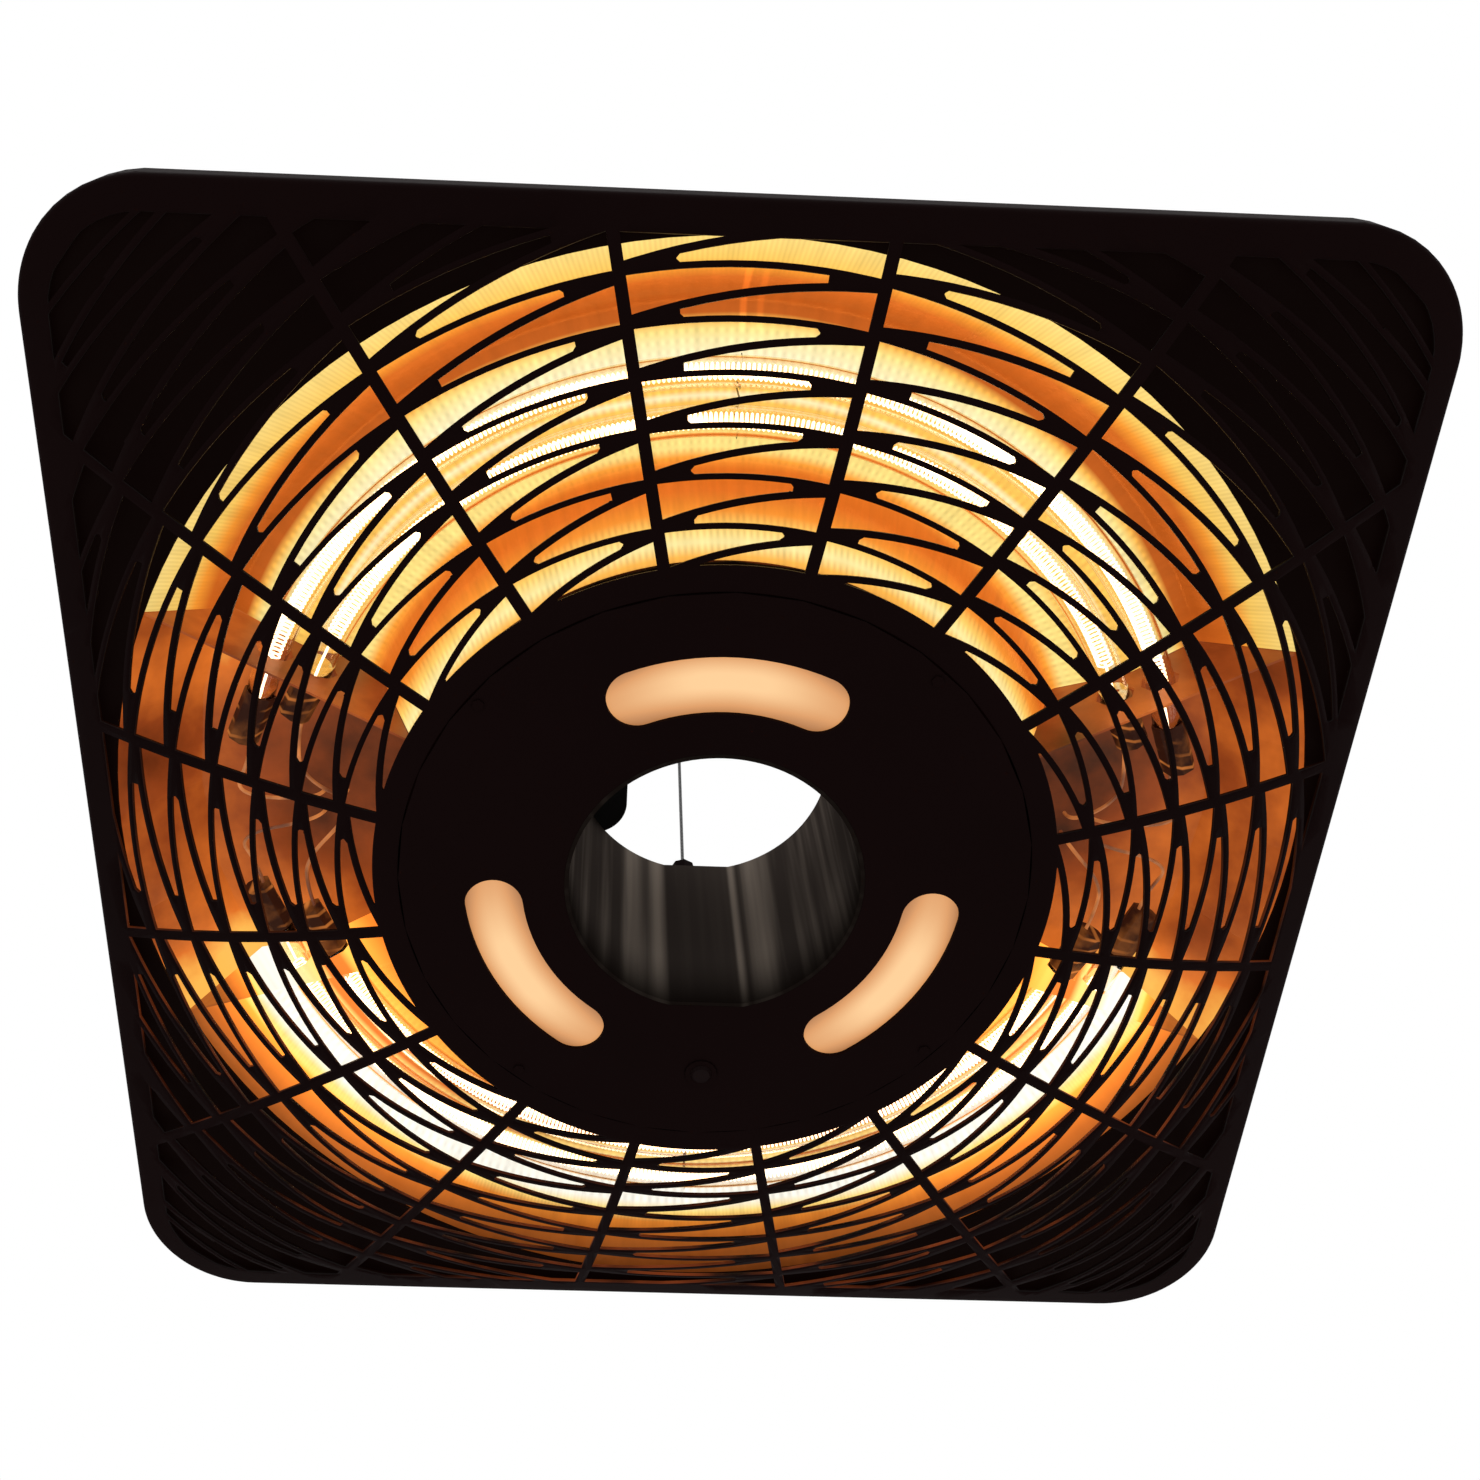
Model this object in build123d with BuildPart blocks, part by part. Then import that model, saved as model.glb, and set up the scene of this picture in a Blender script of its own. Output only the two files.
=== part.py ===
from build123d import *
from math import atan2, ceil, cos, degrees, hypot, radians, sin
import os

os.makedirs("parts", exist_ok=True)

# Ceiling mounted patio heater, millimetres. The origin is the centre of the ceiling face of the
# ceiling plate, +Z is up and everything hangs below it. The square body hangs on three wires.

# Body
drop = 330.0
body_half = 215.0
body_corner = 41.0
body_height = 90.0
sheet = 1.2
fit = 0.1
seat_gap = 0.2
rim_z = -drop

# Pressed grille, from the round hub out to the square rim
hub_r = 113.0
hub_depth = 27.6
edge_band = 0.8
hem_height = 10.0
collar_r = 105.2
hub_sides = 32
bar_count = 16
bar_width = 3.8
row_r = 125.4
row_pitch = 14.5
row_width = 1.7
strand_width = 2.1
strand_shift = 1.4
tip_angle = 5.2
slot_margin = 10.0
hub_margin = 0.6
least_slot = 60.0
waist_row = 3
waist_depth = 18.0
hub_z = rim_z - hub_depth

# Central passage
bore_r = 48.6
bore_flat = 46.9
tube_wall = 1.4
tube_lip = 0.4
tube_top = hub_z - tube_lip + body_height

# Hub cover with three arc windows, a receiver and four screws
cover_gap = 0.7
cover_sheet = 1.6
window_r = 74.0
window_width = 19.5
window_half_angle = 22.7
window_first = 30.0
receiver_y = 77.7
screw_r = 101.4
screw_first = -50.4
screw_count = 4
screw_head_r = 2.0
screw_head = 0.6
hub_face = hub_z - tube_lip
hub_back = hub_face + cover_sheet

# Light boxes
lens_lip = 2.5
lens_thick = 2.0
lens_runs = 6
tray_sides = 12
tray_inner = 56.0
tray_outer = 98.0
tray_height = 9.0
board_length = 62.0
board_width = 12.0
board_thick = 1.6
chip_size = 5.0
chip_height = 1.0
chip_count = 4

# Receiver
bezel_r = 5.7
bezel_flange = 0.6
barrel_length = 6.0
lens_r = 3.8
lens_dome = 1.2
lens_taper = 30
receiver_sides = 16
receiver_board_x = 16.0
receiver_board_y = 12.0

# Carrier plate, frame plate and reflectors
carrier_r = 109.5
carrier_rise = 14.4
frame_margin = 10.5
frame_hole = body_half - frame_margin
reflector_sheet = 0.8
trough_half_angle = 67.0
trough_inner = 110.0
trough_shoulder_in = 129.0
trough_ridge_r = 155.0
trough_shoulder_out = 181.0
trough_height = 30.0
ridge_drop = 7.0
flange = 4.0
facet_runs = 12
trim_angle = 6.0

# Lamps, two tubes side by side in each half
lamp_z = 12.0
lamp_radii = (162.5, 147.0)
coil_half_angles = (68.0, 62.5)
glass_r = 5.0
glass_bore = 4.2
glass_sides = 8
cap_sides = 8
bore_sides = 4
glass_extra = 5.0
coil_r = 2.6
lead_r = 0.9
cap_length = 19.0
cap_r = 5.6
wall_clear = 1.2
clip_ring = 1.6
clip_sheet = 1.0
clip_stem = 4.0

# Heat shield and top cover
shield_z = 34.0
shield_r = trough_shoulder_out + 4.0
shield_foot = frame_hole + 6.5
shield_sides = 32
shoulder_half = 178.0
shoulder_corner = 118.0
shoulder_z = 46.0
crown_r = 92.0
skirt_depth = 6.0

# Electronics on the shield
control_x = 62.0
control_y = 44.0
control_r = 92.0
control_angle = 208.0
control_post = 5.0
post_r = 3.0
relay_x = 16.0
relay_y = 13.0
relay_z = 12.0
driver_x = 58.0
driver_y = 30.0
driver_z = 15.0
driver_r = 96.0
driver_angle = 318.0

# Terminal box that overhangs the passage by its rounded corner
box_right = -28.5
box_far = 33.0
box_x = 81.5
box_y = 51.0
box_corner = 13.5
box_wall = 2.0
box_height = 26.0
lid_thick = 3.0
block_x = 34.0
block_y = 22.0
block_z = 16.0
block_ways = 5
gland_shift = 16.0
gland_thread_r = 10.0
gland_hex = 24.0
gland_hex_height = 6.0
gland_dome_r = 13.0
gland_dome_height = 17.0
gland_sides = 12
gland_taper = 12
cable_r = 5.0

# Three wires that lean towards the axis
wire_count = 3
wire_first = 94.0
wire_r = 0.7
wire_foot_r = 60.0
wire_lean = 0.1
anchor_r = 5.0
anchor_height = 16.0
plate_half = 55.0
plate_corner = 12.0
plate_thick = 4.0
plate_screws = 4
plate_screw_r = 2.75
plate_screw_circle = 48.0
grip_r = 6.5
grip_length = 28.0
plunger_r = 4.0
plunger_travel = 3.0
plunger_spare = 0.4
plunger_length = 9.0
plunger_head = 3.0
plunger_head_r = 5.5
plunger_sides = 12
wire_sides = 8
wire_clear = 0.55
slide_fit = 0.08


def save(piece, label):
    piece.part.label = label
    export_step(piece.part, f"parts/{label}.step")


def polar(radius, angle):
    return (radius * cos(radians(angle)), radius * sin(radians(angle)))


def radial_plane(angle):
    """Vertical plane through the axis: local x is the radius and local y is the height."""
    return Plane(origin=(0, 0, 0), x_dir=(*polar(1, angle), 0), z_dir=(*polar(1, angle - 90), 0))


# Square-to-round dish of flat facets, shared by the grille and the top cover
bar_step = 360 / bar_count
bar_first = bar_step / 2


def reach(half, corner, angle):
    return (half - corner) * (abs(cos(angle)) + abs(sin(angle))) + corner


def dish(levels, shift, top):
    with BuildPart() as block:
        with BuildSketch(Plane.XY.offset(levels[0][2] + shift)):
            RectangleRounded(2 * body_half, 2 * body_half, body_corner)
        extrude(amount=top - levels[0][2] - shift)
        for index in range(bar_count):
            angle = radians(bar_step * index)
            for lower, upper in zip(levels, levels[1:]):
                r0 = reach(lower[0], lower[1], angle)
                r1 = reach(upper[0], upper[1], angle)
                rise = upper[2] - lower[2]
                facet = Plane(
                    origin=(r0 * cos(angle), r0 * sin(angle), lower[2] + shift),
                    x_dir=(-sin(angle), cos(angle), 0),
                    z_dir=(-rise * cos(angle), -rise * sin(angle), r1 - r0),
                )
                split(bisect_by=facet, keep=Keep.TOP)
    return block.part


# Grille slots: each cell between two bars and two rows is cut by one slanting strand, and the
# rows run straight from bar to bar, parallel to the facet under them
run_depth = cos(radians(bar_step / 2))


def sweep_points(r0, a0, r1, a1, steps):
    return [polar(r0 + (r1 - r0) * i / steps, a0 + (a1 - a0) * i / steps) for i in range(steps + 1)]


def cell_slots(row, cell):
    low = bar_first + bar_step * cell
    middle = low + bar_step / 2
    high = low + bar_step
    inner_row = row_r + row_pitch * row
    inner = inner_row + row_width / 2
    outer = inner_row + row_pitch - row_width / 2
    half_strand = strand_width / 2

    def bar_edge(radius):
        return degrees(bar_width / 2 / radius)

    def on_run(radius, angle):
        return polar(radius * run_depth / cos(radians(angle - middle)), angle)

    def strand(angle):
        return inner_row + strand_shift + (row_pitch - 2 * strand_shift) * (angle - low) / bar_step

    outer_tip = high - tip_angle
    inner_tip = low + tip_angle
    start = low + bar_edge(inner)
    end = high - bar_edge(outer)
    outer_slot = [on_run(outer, a) for a in (low + bar_edge(outer), outer_tip)]
    outer_slot += [on_run(strand(a) + half_strand, a) for a in (outer_tip, start)]
    inner_slot = [on_run(inner, a) for a in (inner_tip, high - bar_edge(inner))]
    inner_slot += [on_run(strand(a) - half_strand, a) for a in (end, inner_tip)]
    return outer_slot, inner_slot


slot_half = body_half - slot_margin
slot_corner = body_corner - slot_margin
slot_hub = hub_r + hub_margin
row_start = -ceil((row_r - slot_hub) / row_pitch)
row_stop = ceil((reach(slot_half, slot_corner, radians(45)) - row_r) / row_pitch)

with BuildSketch() as slot_zone:
    RectangleRounded(2 * slot_half, 2 * slot_half, slot_corner)
    Circle(slot_hub, mode=Mode.SUBTRACT)

quadrant = []
for row in range(row_start, row_stop):
    for cell in range(bar_count // 4):
        for outline in cell_slots(row, cell):
            near = min(max(abs(x), abs(y)) for x, y in outline)
            far = max(hypot(x, y) for x, y in outline)
            if near > slot_half:
                continue
            with BuildSketch() as slot:
                with BuildLine():
                    Polyline(*outline, close=True)
                make_face()
                if row < 0 or far > slot_half:
                    add(slot_zone.sketch, mode=Mode.INTERSECT)
            quadrant += [face for face in slot.faces() if face.area > least_slot]

waist_r = (row_r + waist_row * row_pitch) * run_depth
grille_levels = [
    (hub_r, hub_r, hub_z),
    (waist_r, waist_r, rim_z - waist_depth),
    (body_half, body_corner, rim_z - edge_band),
]
carrier_z = hub_z + carrier_rise
with BuildPart() as grille:
    add(dish(grille_levels, 0, rim_z))
    add(dish(grille_levels, sheet, rim_z), mode=Mode.SUBTRACT)
    with BuildSketch(Plane.XY.offset(hub_z)) as collar_hole:
        RegularPolygon(collar_r, hub_sides, major_radius=False)
    extrude(amount=sheet, mode=Mode.SUBTRACT)
    with BuildSketch(Plane.XY.offset(hub_z)):
        RegularPolygon(collar_r + sheet, hub_sides, major_radius=False)
        add(collar_hole.sketch, mode=Mode.SUBTRACT)
    extrude(amount=carrier_rise)
    with BuildSketch(Plane.XY.offset(rim_z)):
        RectangleRounded(2 * body_half, 2 * body_half, body_corner)
        inner_half = body_half - sheet
        RectangleRounded(2 * inner_half, 2 * inner_half, body_corner - sheet, mode=Mode.SUBTRACT)
    extrude(amount=hem_height)
    with BuildSketch(Plane.XY.offset(hub_z)):
        with PolarLocations(0, 4):
            add(quadrant)
    extrude(amount=hub_depth, mode=Mode.SUBTRACT)
save(grille, "grille")


# Central tube with one flat side
def passage(grow):
    with BuildSketch() as outline:
        Circle(bore_r + grow)
        with Locations((0, bore_flat + grow + bore_r)):
            Rectangle(3 * bore_r, 2 * bore_r, mode=Mode.SUBTRACT)
    return outline.sketch


with BuildPart() as centre_tube:
    with BuildSketch(Plane.XY.offset(hub_face)):
        add(passage(tube_wall))
        add(passage(0), mode=Mode.SUBTRACT)
    extrude(amount=body_height)
save(centre_tube, "centre_tube")


# Hub cover
def window(angle):
    arc = CenterArc((0, 0), window_r, angle - window_half_angle, 2 * window_half_angle)
    with BuildSketch() as slot_shape:
        SlotArc(arc, window_width)
    return slot_shape.sketch


window_angles = [window_first + 120 * index for index in range(3)]
with BuildPart() as hub_cover:
    with BuildSketch(Plane.XY.offset(hub_face)):
        RegularPolygon(collar_r - cover_gap, hub_sides, major_radius=False)
        add(passage(tube_wall + fit), mode=Mode.SUBTRACT)
        for angle in window_angles:
            add(window(angle), mode=Mode.SUBTRACT)
        with Locations((0, receiver_y)):
            Circle(bezel_r + fit, mode=Mode.SUBTRACT)
    extrude(amount=cover_sheet)
save(hub_cover, "hub_cover")

with BuildPart() as hub_screws:
    with BuildSketch(Plane.XY.offset(hub_face - screw_head)):
        with PolarLocations(screw_r, screw_count, screw_first):
            RegularPolygon(screw_head_r, 6)
    extrude(amount=screw_head)
save(hub_screws, "hub_screws")

# Frosted windows, lamp boards and the tray that holds them
tray_top = hub_back + tray_height
board_z = tray_top - sheet - board_thick
lens_half = window_width / 2 + lens_lip
lens_half_angle = window_half_angle + degrees(lens_half / window_r)
for index, angle in enumerate(window_angles):
    low = angle - lens_half_angle
    high = angle + lens_half_angle
    with BuildPart() as diffuser:
        with BuildSketch(Plane.XY.offset(hub_back)):
            with BuildLine():
                outer = sweep_points(window_r + lens_half, low, window_r + lens_half, high, lens_runs)
                inner = sweep_points(window_r - lens_half, high, window_r - lens_half, low, lens_runs)
                Polyline(*outer, *inner, close=True)
            make_face()
        extrude(amount=lens_thick)
    save(diffuser, f"diffuser_{index + 1}")

    board_plane = Plane(origin=(*polar(window_r, angle), board_z), x_dir=(*polar(1, angle + 90), 0))
    with BuildPart() as led_board:
        with BuildSketch(board_plane):
            Rectangle(board_length, board_width)
        extrude(amount=board_thick)
        with BuildSketch(board_plane):
            with GridLocations(board_length / chip_count, 0, chip_count, 1):
                Rectangle(chip_size, chip_size)
        extrude(amount=-chip_height)
    save(led_board, f"led_board_{index + 1}")

with BuildPart() as light_tray:
    with BuildSketch(Plane.XY.offset(hub_back)):
        RegularPolygon(tray_outer, tray_sides)
        RegularPolygon(tray_inner, tray_sides, mode=Mode.SUBTRACT)
    extrude(amount=tray_height)
    with BuildSketch(Plane.XY.offset(hub_back)):
        RegularPolygon(tray_outer - sheet, tray_sides)
        RegularPolygon(tray_inner + sheet, tray_sides, mode=Mode.SUBTRACT)
    extrude(amount=tray_height - sheet, mode=Mode.SUBTRACT)
save(light_tray, "light_tray")

# Receiver for the remote control
with BuildPart() as receiver_bezel:
    with BuildSketch(Plane((0, receiver_y, hub_face - bezel_flange))):
        RegularPolygon(bezel_r, receiver_sides)
        RegularPolygon(lens_r, receiver_sides, mode=Mode.SUBTRACT)
    extrude(amount=bezel_flange + barrel_length)
save(receiver_bezel, "receiver_bezel")

with BuildPart() as receiver_lens:
    with BuildSketch(Plane((0, receiver_y, hub_face - bezel_flange))) as lens_outline:
        RegularPolygon(lens_r - fit, receiver_sides)
    extrude(amount=barrel_length + bezel_flange)
    extrude(lens_outline.sketch, amount=-lens_dome, taper=lens_taper)
save(receiver_lens, "receiver_lens")

with BuildPart() as receiver_board:
    with BuildSketch(Plane((0, receiver_y, hub_face + barrel_length))):
        Rectangle(receiver_board_x, receiver_board_y)
    extrude(amount=board_thick)
save(receiver_board, "receiver_board")

# Carrier plate on the tube and frame plate on the grille
with BuildPart() as hub_carrier:
    with BuildSketch(Plane.XY.offset(carrier_z)):
        RegularPolygon(carrier_r, hub_sides)
        add(passage(tube_wall + fit), mode=Mode.SUBTRACT)
    extrude(amount=sheet)
save(hub_carrier, "hub_carrier")

with BuildPart() as chassis_frame:
    with BuildSketch(Plane.XY.offset(rim_z)):
        frame_half = body_half - sheet - seat_gap
        RectangleRounded(2 * frame_half, 2 * frame_half, body_corner - sheet - seat_gap)
        Circle(frame_hole, mode=Mode.SUBTRACT)
    extrude(amount=sheet)
save(chassis_frame, "chassis_frame")

# Polished troughs, one in each half
carrier_top = carrier_z + sheet
frame_top = rim_z + sheet
pan_z = rim_z + trough_height
trough = [
    (trough_inner, carrier_top),
    (trough_shoulder_in, pan_z),
    (trough_ridge_r, pan_z - ridge_drop),
    (trough_shoulder_out, pan_z),
    (frame_hole, frame_top),
]
trough_line = [(trough_inner - flange, carrier_top), *trough, (frame_hole + flange, frame_top)]
lamp_level = rim_z + lamp_z
halves = {"near": -90.0, "far": 90.0}
sides = {"left": 1, "right": -1}


def facet_path(radius, level, centre, half_angle):
    """Short straight runs round the axis, whose ends lie on the circle."""
    step = 2 * half_angle / facet_runs
    return Polyline(
        *[(*polar(radius, centre - half_angle + step * i), level) for i in range(facet_runs + 1)]
    )


def end_plane(radius, level, centre, half_angle, turn):
    """Plane square to the outer run at one end of that path, facing out of it."""
    end = centre + turn * half_angle
    along = end - turn * half_angle / facet_runs + turn * 90
    return Plane(origin=(*polar(radius, end), level), x_dir=(0, 0, 1), z_dir=(*polar(1, along), 0))


def lamp_rod(radius, centre, half_angle, size, flats):
    with BuildPart() as rod:
        with BuildLine():
            facet_path(radius, lamp_level, centre, half_angle)
        with BuildSketch(end_plane(radius, lamp_level, centre, half_angle, -1)):
            RegularPolygon(size, flats)
        sweep(transition=Transition.RIGHT)
    return rod.part


for half, centre in halves.items():
    with BuildPart() as reflector:
        long_half = trough_half_angle + trim_angle
        with BuildLine():
            facet_path(trough_ridge_r, pan_z, centre, long_half)
        with BuildSketch(radial_plane(centre - long_half)):
            with BuildLine():
                lower = Polyline(*trough_line)
                offset(lower, amount=reflector_sheet, side=Side.LEFT, kind=Kind.INTERSECTION)
            make_face()
        sweep(transition=Transition.RIGHT)
        split(bisect_by=radial_plane(centre - trough_half_angle), keep=Keep.BOTTOM)
        split(bisect_by=radial_plane(centre + trough_half_angle), keep=Keep.TOP)
    save(reflector, f"reflector_{half}")

    with BuildPart() as lamp_clip:
        with BuildSketch(radial_plane(centre)):
            for radius in lamp_radii:
                with Locations((radius, lamp_level)):
                    RegularPolygon(glass_r + clip_ring, 8, major_radius=False)
            middle = sum(lamp_radii) / 2
            stem_top = pan_z - ridge_drop
            with Locations((middle, (lamp_level + stem_top) / 2)):
                Rectangle(clip_stem, stem_top - lamp_level)
            for radius in lamp_radii:
                with Locations((radius, lamp_level)):
                    RegularPolygon(glass_r + fit, 8, major_radius=False, mode=Mode.SUBTRACT)
        extrude(amount=clip_sheet / 2, both=True)
    save(lamp_clip, f"lamp_clip_{half}")

    for side, sign in sides.items():
        turn = sign if half == "far" else -sign
        with BuildPart() as end_wall:
            with BuildSketch(radial_plane(centre + turn * (trough_half_angle + fit))):
                with BuildLine():
                    Polyline(*trough, close=True)
                make_face()
                for radius in lamp_radii:
                    with Locations((radius, lamp_level)):
                        RegularPolygon(glass_r + wall_clear, 8, major_radius=False, mode=Mode.SUBTRACT)
            extrude(amount=-turn * reflector_sheet)
        save(end_wall, f"end_wall_{half}_{side}")

        with BuildPart() as lamp_caps:
            for radius, coil_half in zip(lamp_radii, coil_half_angles):
                glass_half = coil_half + glass_extra
                with BuildSketch(end_plane(radius, lamp_level, centre, glass_half, turn)):
                    RegularPolygon(cap_r, cap_sides)
                extrude(amount=cap_length)
        save(lamp_caps, f"lamp_caps_{half}_{side}")

    for place, radius, coil_half in zip(("outer", "inner"), lamp_radii, coil_half_angles):
        glass_half = coil_half + glass_extra
        with BuildPart() as quartz:
            add(lamp_rod(radius, centre, glass_half, glass_r, glass_sides))
            add(lamp_rod(radius, centre, glass_half, glass_bore, bore_sides), mode=Mode.SUBTRACT)
        save(quartz, f"quartz_{half}_{place}")

        with BuildPart() as filament:
            add(lamp_rod(radius, centre, coil_half, coil_r, bore_sides))
            add(lamp_rod(radius, centre, glass_half, lead_r, bore_sides))
        save(filament, f"filament_{half}_{place}")

# Heat shield over the troughs
shield_rise = shield_z - sheet
shield_taper = degrees(atan2(shield_foot - shield_r, shield_rise))
with BuildPart() as heat_shield:
    for level, mode in ((frame_top + reflector_sheet, Mode.ADD), (frame_top, Mode.SUBTRACT)):
        with BuildSketch(Plane.XY.offset(level)):
            RegularPolygon(shield_foot, shield_sides)
        extrude(amount=shield_rise, taper=shield_taper, mode=mode)
    with BuildSketch(Plane.XY.offset(rim_z + shield_z)):
        Circle(bore_r + tube_wall + fit)
    extrude(amount=reflector_sheet, mode=Mode.SUBTRACT)
save(heat_shield, "heat_shield")

# Top cover
crown_z = tube_top
cover_levels = [
    (body_half, body_corner, rim_z + hem_height),
    (shoulder_half, shoulder_corner, rim_z + shoulder_z),
    (crown_r, crown_r, crown_z),
]
with BuildPart() as top_cover:
    add(dish(cover_levels, 0, crown_z))
    add(dish(cover_levels, -sheet, crown_z - sheet), mode=Mode.SUBTRACT)
    with BuildSketch(Plane.XY.offset(rim_z + hem_height - skirt_depth)):
        skirt_half = body_half - sheet - seat_gap
        skirt_corner = body_corner - sheet - seat_gap
        RectangleRounded(2 * skirt_half, 2 * skirt_half, skirt_corner)
        thin_half = skirt_half - sheet
        RectangleRounded(2 * thin_half, 2 * thin_half, skirt_corner - sheet, mode=Mode.SUBTRACT)
    extrude(amount=skirt_depth)
    with BuildSketch(Plane.XY.offset(crown_z)):
        add(passage(tube_wall + fit))
    extrude(amount=-2 * sheet, mode=Mode.SUBTRACT)
save(top_cover, "top_cover")

# Control board and light driver on the heat shield
shield_top = rim_z + shield_z + reflector_sheet
control_plane = Plane(
    origin=(*polar(control_r, control_angle), shield_top), x_dir=(*polar(1, control_angle - 90), 0)
)
with BuildPart() as board_posts:
    with BuildSketch(control_plane):
        with GridLocations(control_x - 4 * post_r, control_y - 4 * post_r, 2, 2):
            RegularPolygon(post_r, 6)
    extrude(amount=control_post)
save(board_posts, "board_posts")

with BuildPart() as control_board:
    with BuildSketch(control_plane.offset(control_post)):
        Rectangle(control_x, control_y)
    extrude(amount=board_thick)
    with BuildSketch(control_plane.offset(control_post + board_thick)):
        with GridLocations(relay_x + post_r, 0, 2, 1):
            Rectangle(relay_x, relay_y)
    extrude(amount=relay_z)
save(control_board, "control_board")

driver_plane = Plane(
    origin=(*polar(driver_r, driver_angle), shield_top), x_dir=(*polar(1, driver_angle - 90), 0)
)
with BuildPart() as led_driver:
    with BuildSketch(driver_plane):
        Rectangle(driver_x, driver_y)
    extrude(amount=driver_z)
save(led_driver, "led_driver")

# Terminal box, its lid, block and cable gland
box_centre = (box_right - box_x / 2, box_far - box_y / 2)
with BuildPart() as terminal_box:
    with BuildSketch(Plane((*box_centre, crown_z))):
        RectangleRounded(box_x, box_y, box_corner)
    extrude(amount=box_height)
    with BuildSketch(Plane((*box_centre, crown_z + box_wall))):
        inner_x = box_x - 2 * box_wall
        inner_y = box_y - 2 * box_wall
        RectangleRounded(inner_x, inner_y, box_corner - box_wall)
    extrude(amount=box_height - box_wall, mode=Mode.SUBTRACT)
save(terminal_box, "terminal_box")

lid_z = crown_z + box_height
lid_top = lid_z + lid_thick
gland_at = (box_centre[0] - gland_shift, box_centre[1])
with BuildPart() as terminal_lid:
    with BuildSketch(Plane((*box_centre, lid_z))):
        RectangleRounded(box_x, box_y, box_corner)
    extrude(amount=lid_thick)
    with BuildSketch(Plane((*gland_at, lid_z))):
        RegularPolygon(gland_thread_r + fit, gland_sides)
    extrude(amount=lid_thick, mode=Mode.SUBTRACT)
save(terminal_lid, "terminal_lid")

block_at = (box_centre[0] + gland_shift, box_centre[1])
with BuildPart() as terminal_block:
    with BuildSketch(Plane((*block_at, crown_z + box_wall))):
        Rectangle(block_x, block_y)
    extrude(amount=block_z)
    with BuildSketch(Plane((*block_at, crown_z + box_wall + block_z))):
        with GridLocations(block_x / block_ways, 0, block_ways, 1):
            Rectangle(block_x / block_ways / 2, block_y / 2)
    extrude(amount=-block_z / 4, mode=Mode.SUBTRACT)
save(terminal_block, "terminal_block")

with BuildPart() as gland_body:
    with BuildSketch(Plane((*gland_at, lid_z - lid_thick))):
        RegularPolygon(gland_thread_r, gland_sides)
    extrude(amount=2 * lid_thick)
    with BuildSketch(Plane((*gland_at, lid_top))):
        RegularPolygon(gland_hex / 2, 6, major_radius=False)
    extrude(amount=gland_hex_height)
    with BuildSketch(Plane((*gland_at, lid_z - lid_thick))):
        Circle(cable_r)
    extrude(amount=2 * lid_thick + gland_hex_height, mode=Mode.SUBTRACT)
save(gland_body, "gland_body")

with BuildPart() as gland_nut:
    with BuildSketch(Plane((*gland_at, lid_top + gland_hex_height))):
        RegularPolygon(gland_dome_r, gland_sides)
    extrude(amount=gland_dome_height, taper=gland_taper)
    with BuildSketch(Plane((*gland_at, lid_top + gland_hex_height))):
        Circle(cable_r)
    extrude(amount=gland_dome_height, mode=Mode.SUBTRACT)
save(gland_nut, "gland_nut")


# Three suspension wires, each with its anchor on the crown and its grip under the ceiling plate
def wire_plane(index, level):
    angle = wire_first + 360 / wire_count * index
    radius = wire_foot_r - wire_lean * (level - crown_z)
    return Plane(
        origin=(*polar(radius, angle), level),
        x_dir=(*polar(1, angle + 90), 0),
        z_dir=(*polar(-wire_lean, angle), 1),
    )


ceiling_z = -plate_thick
grip_z = ceiling_z - grip_length
anchor_z = crown_z + anchor_height
stem_length = plunger_length + plunger_travel + plunger_spare
for index in range(wire_count):
    with BuildPart() as wire_anchor:
        with BuildSketch(wire_plane(index, anchor_z)):
            RegularPolygon(anchor_r, wire_sides)
        extrude(amount=-anchor_height - anchor_r)
        split(bisect_by=Plane.XY.offset(crown_z), keep=Keep.TOP)
    save(wire_anchor, f"wire_anchor_{index + 1}")

    bottom = wire_plane(index, grip_z)
    with BuildPart() as grip_body:
        with BuildSketch(bottom):
            RegularPolygon(grip_r, 6, major_radius=False)
        extrude(amount=grip_length + grip_r)
        split(bisect_by=Plane.XY.offset(ceiling_z), keep=Keep.BOTTOM)
        with BuildSketch(bottom):
            RegularPolygon(plunger_r + slide_fit, plunger_sides)
        extrude(amount=stem_length, mode=Mode.SUBTRACT)
        with BuildSketch(bottom):
            RegularPolygon(wire_r + slide_fit, wire_sides)
        extrude(amount=stem_length + plunger_length / 2, mode=Mode.SUBTRACT)
    save(grip_body, f"grip_body_{index + 1}")

    with BuildPart() as grip_plunger:
        gap = plunger_travel + plunger_spare
        with BuildSketch(bottom.offset(-gap)):
            RegularPolygon(plunger_r, plunger_sides)
        extrude(amount=plunger_length + gap)
        with BuildSketch(bottom.offset(-gap)):
            RegularPolygon(plunger_head_r, plunger_sides)
        extrude(amount=-plunger_head)
        with BuildSketch(bottom.offset(-gap - plunger_head)):
            RegularPolygon(wire_r + wire_clear, wire_sides)
        extrude(amount=plunger_head + gap + plunger_length, mode=Mode.SUBTRACT)
    save(grip_plunger, f"grip_plunger_{index + 1}")

    start = wire_plane(index, anchor_z)
    run = (bottom.origin - start.origin).length + stem_length + plunger_length / 2
    with BuildPart() as suspension_wire:
        with BuildSketch(start):
            RegularPolygon(wire_r, wire_sides)
        extrude(amount=run)
    save(suspension_wire, f"suspension_wire_{index + 1}")
    print("wire", index + 1, "length", round(run, 1), "start", start.origin, "along", start.z_dir)

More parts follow.
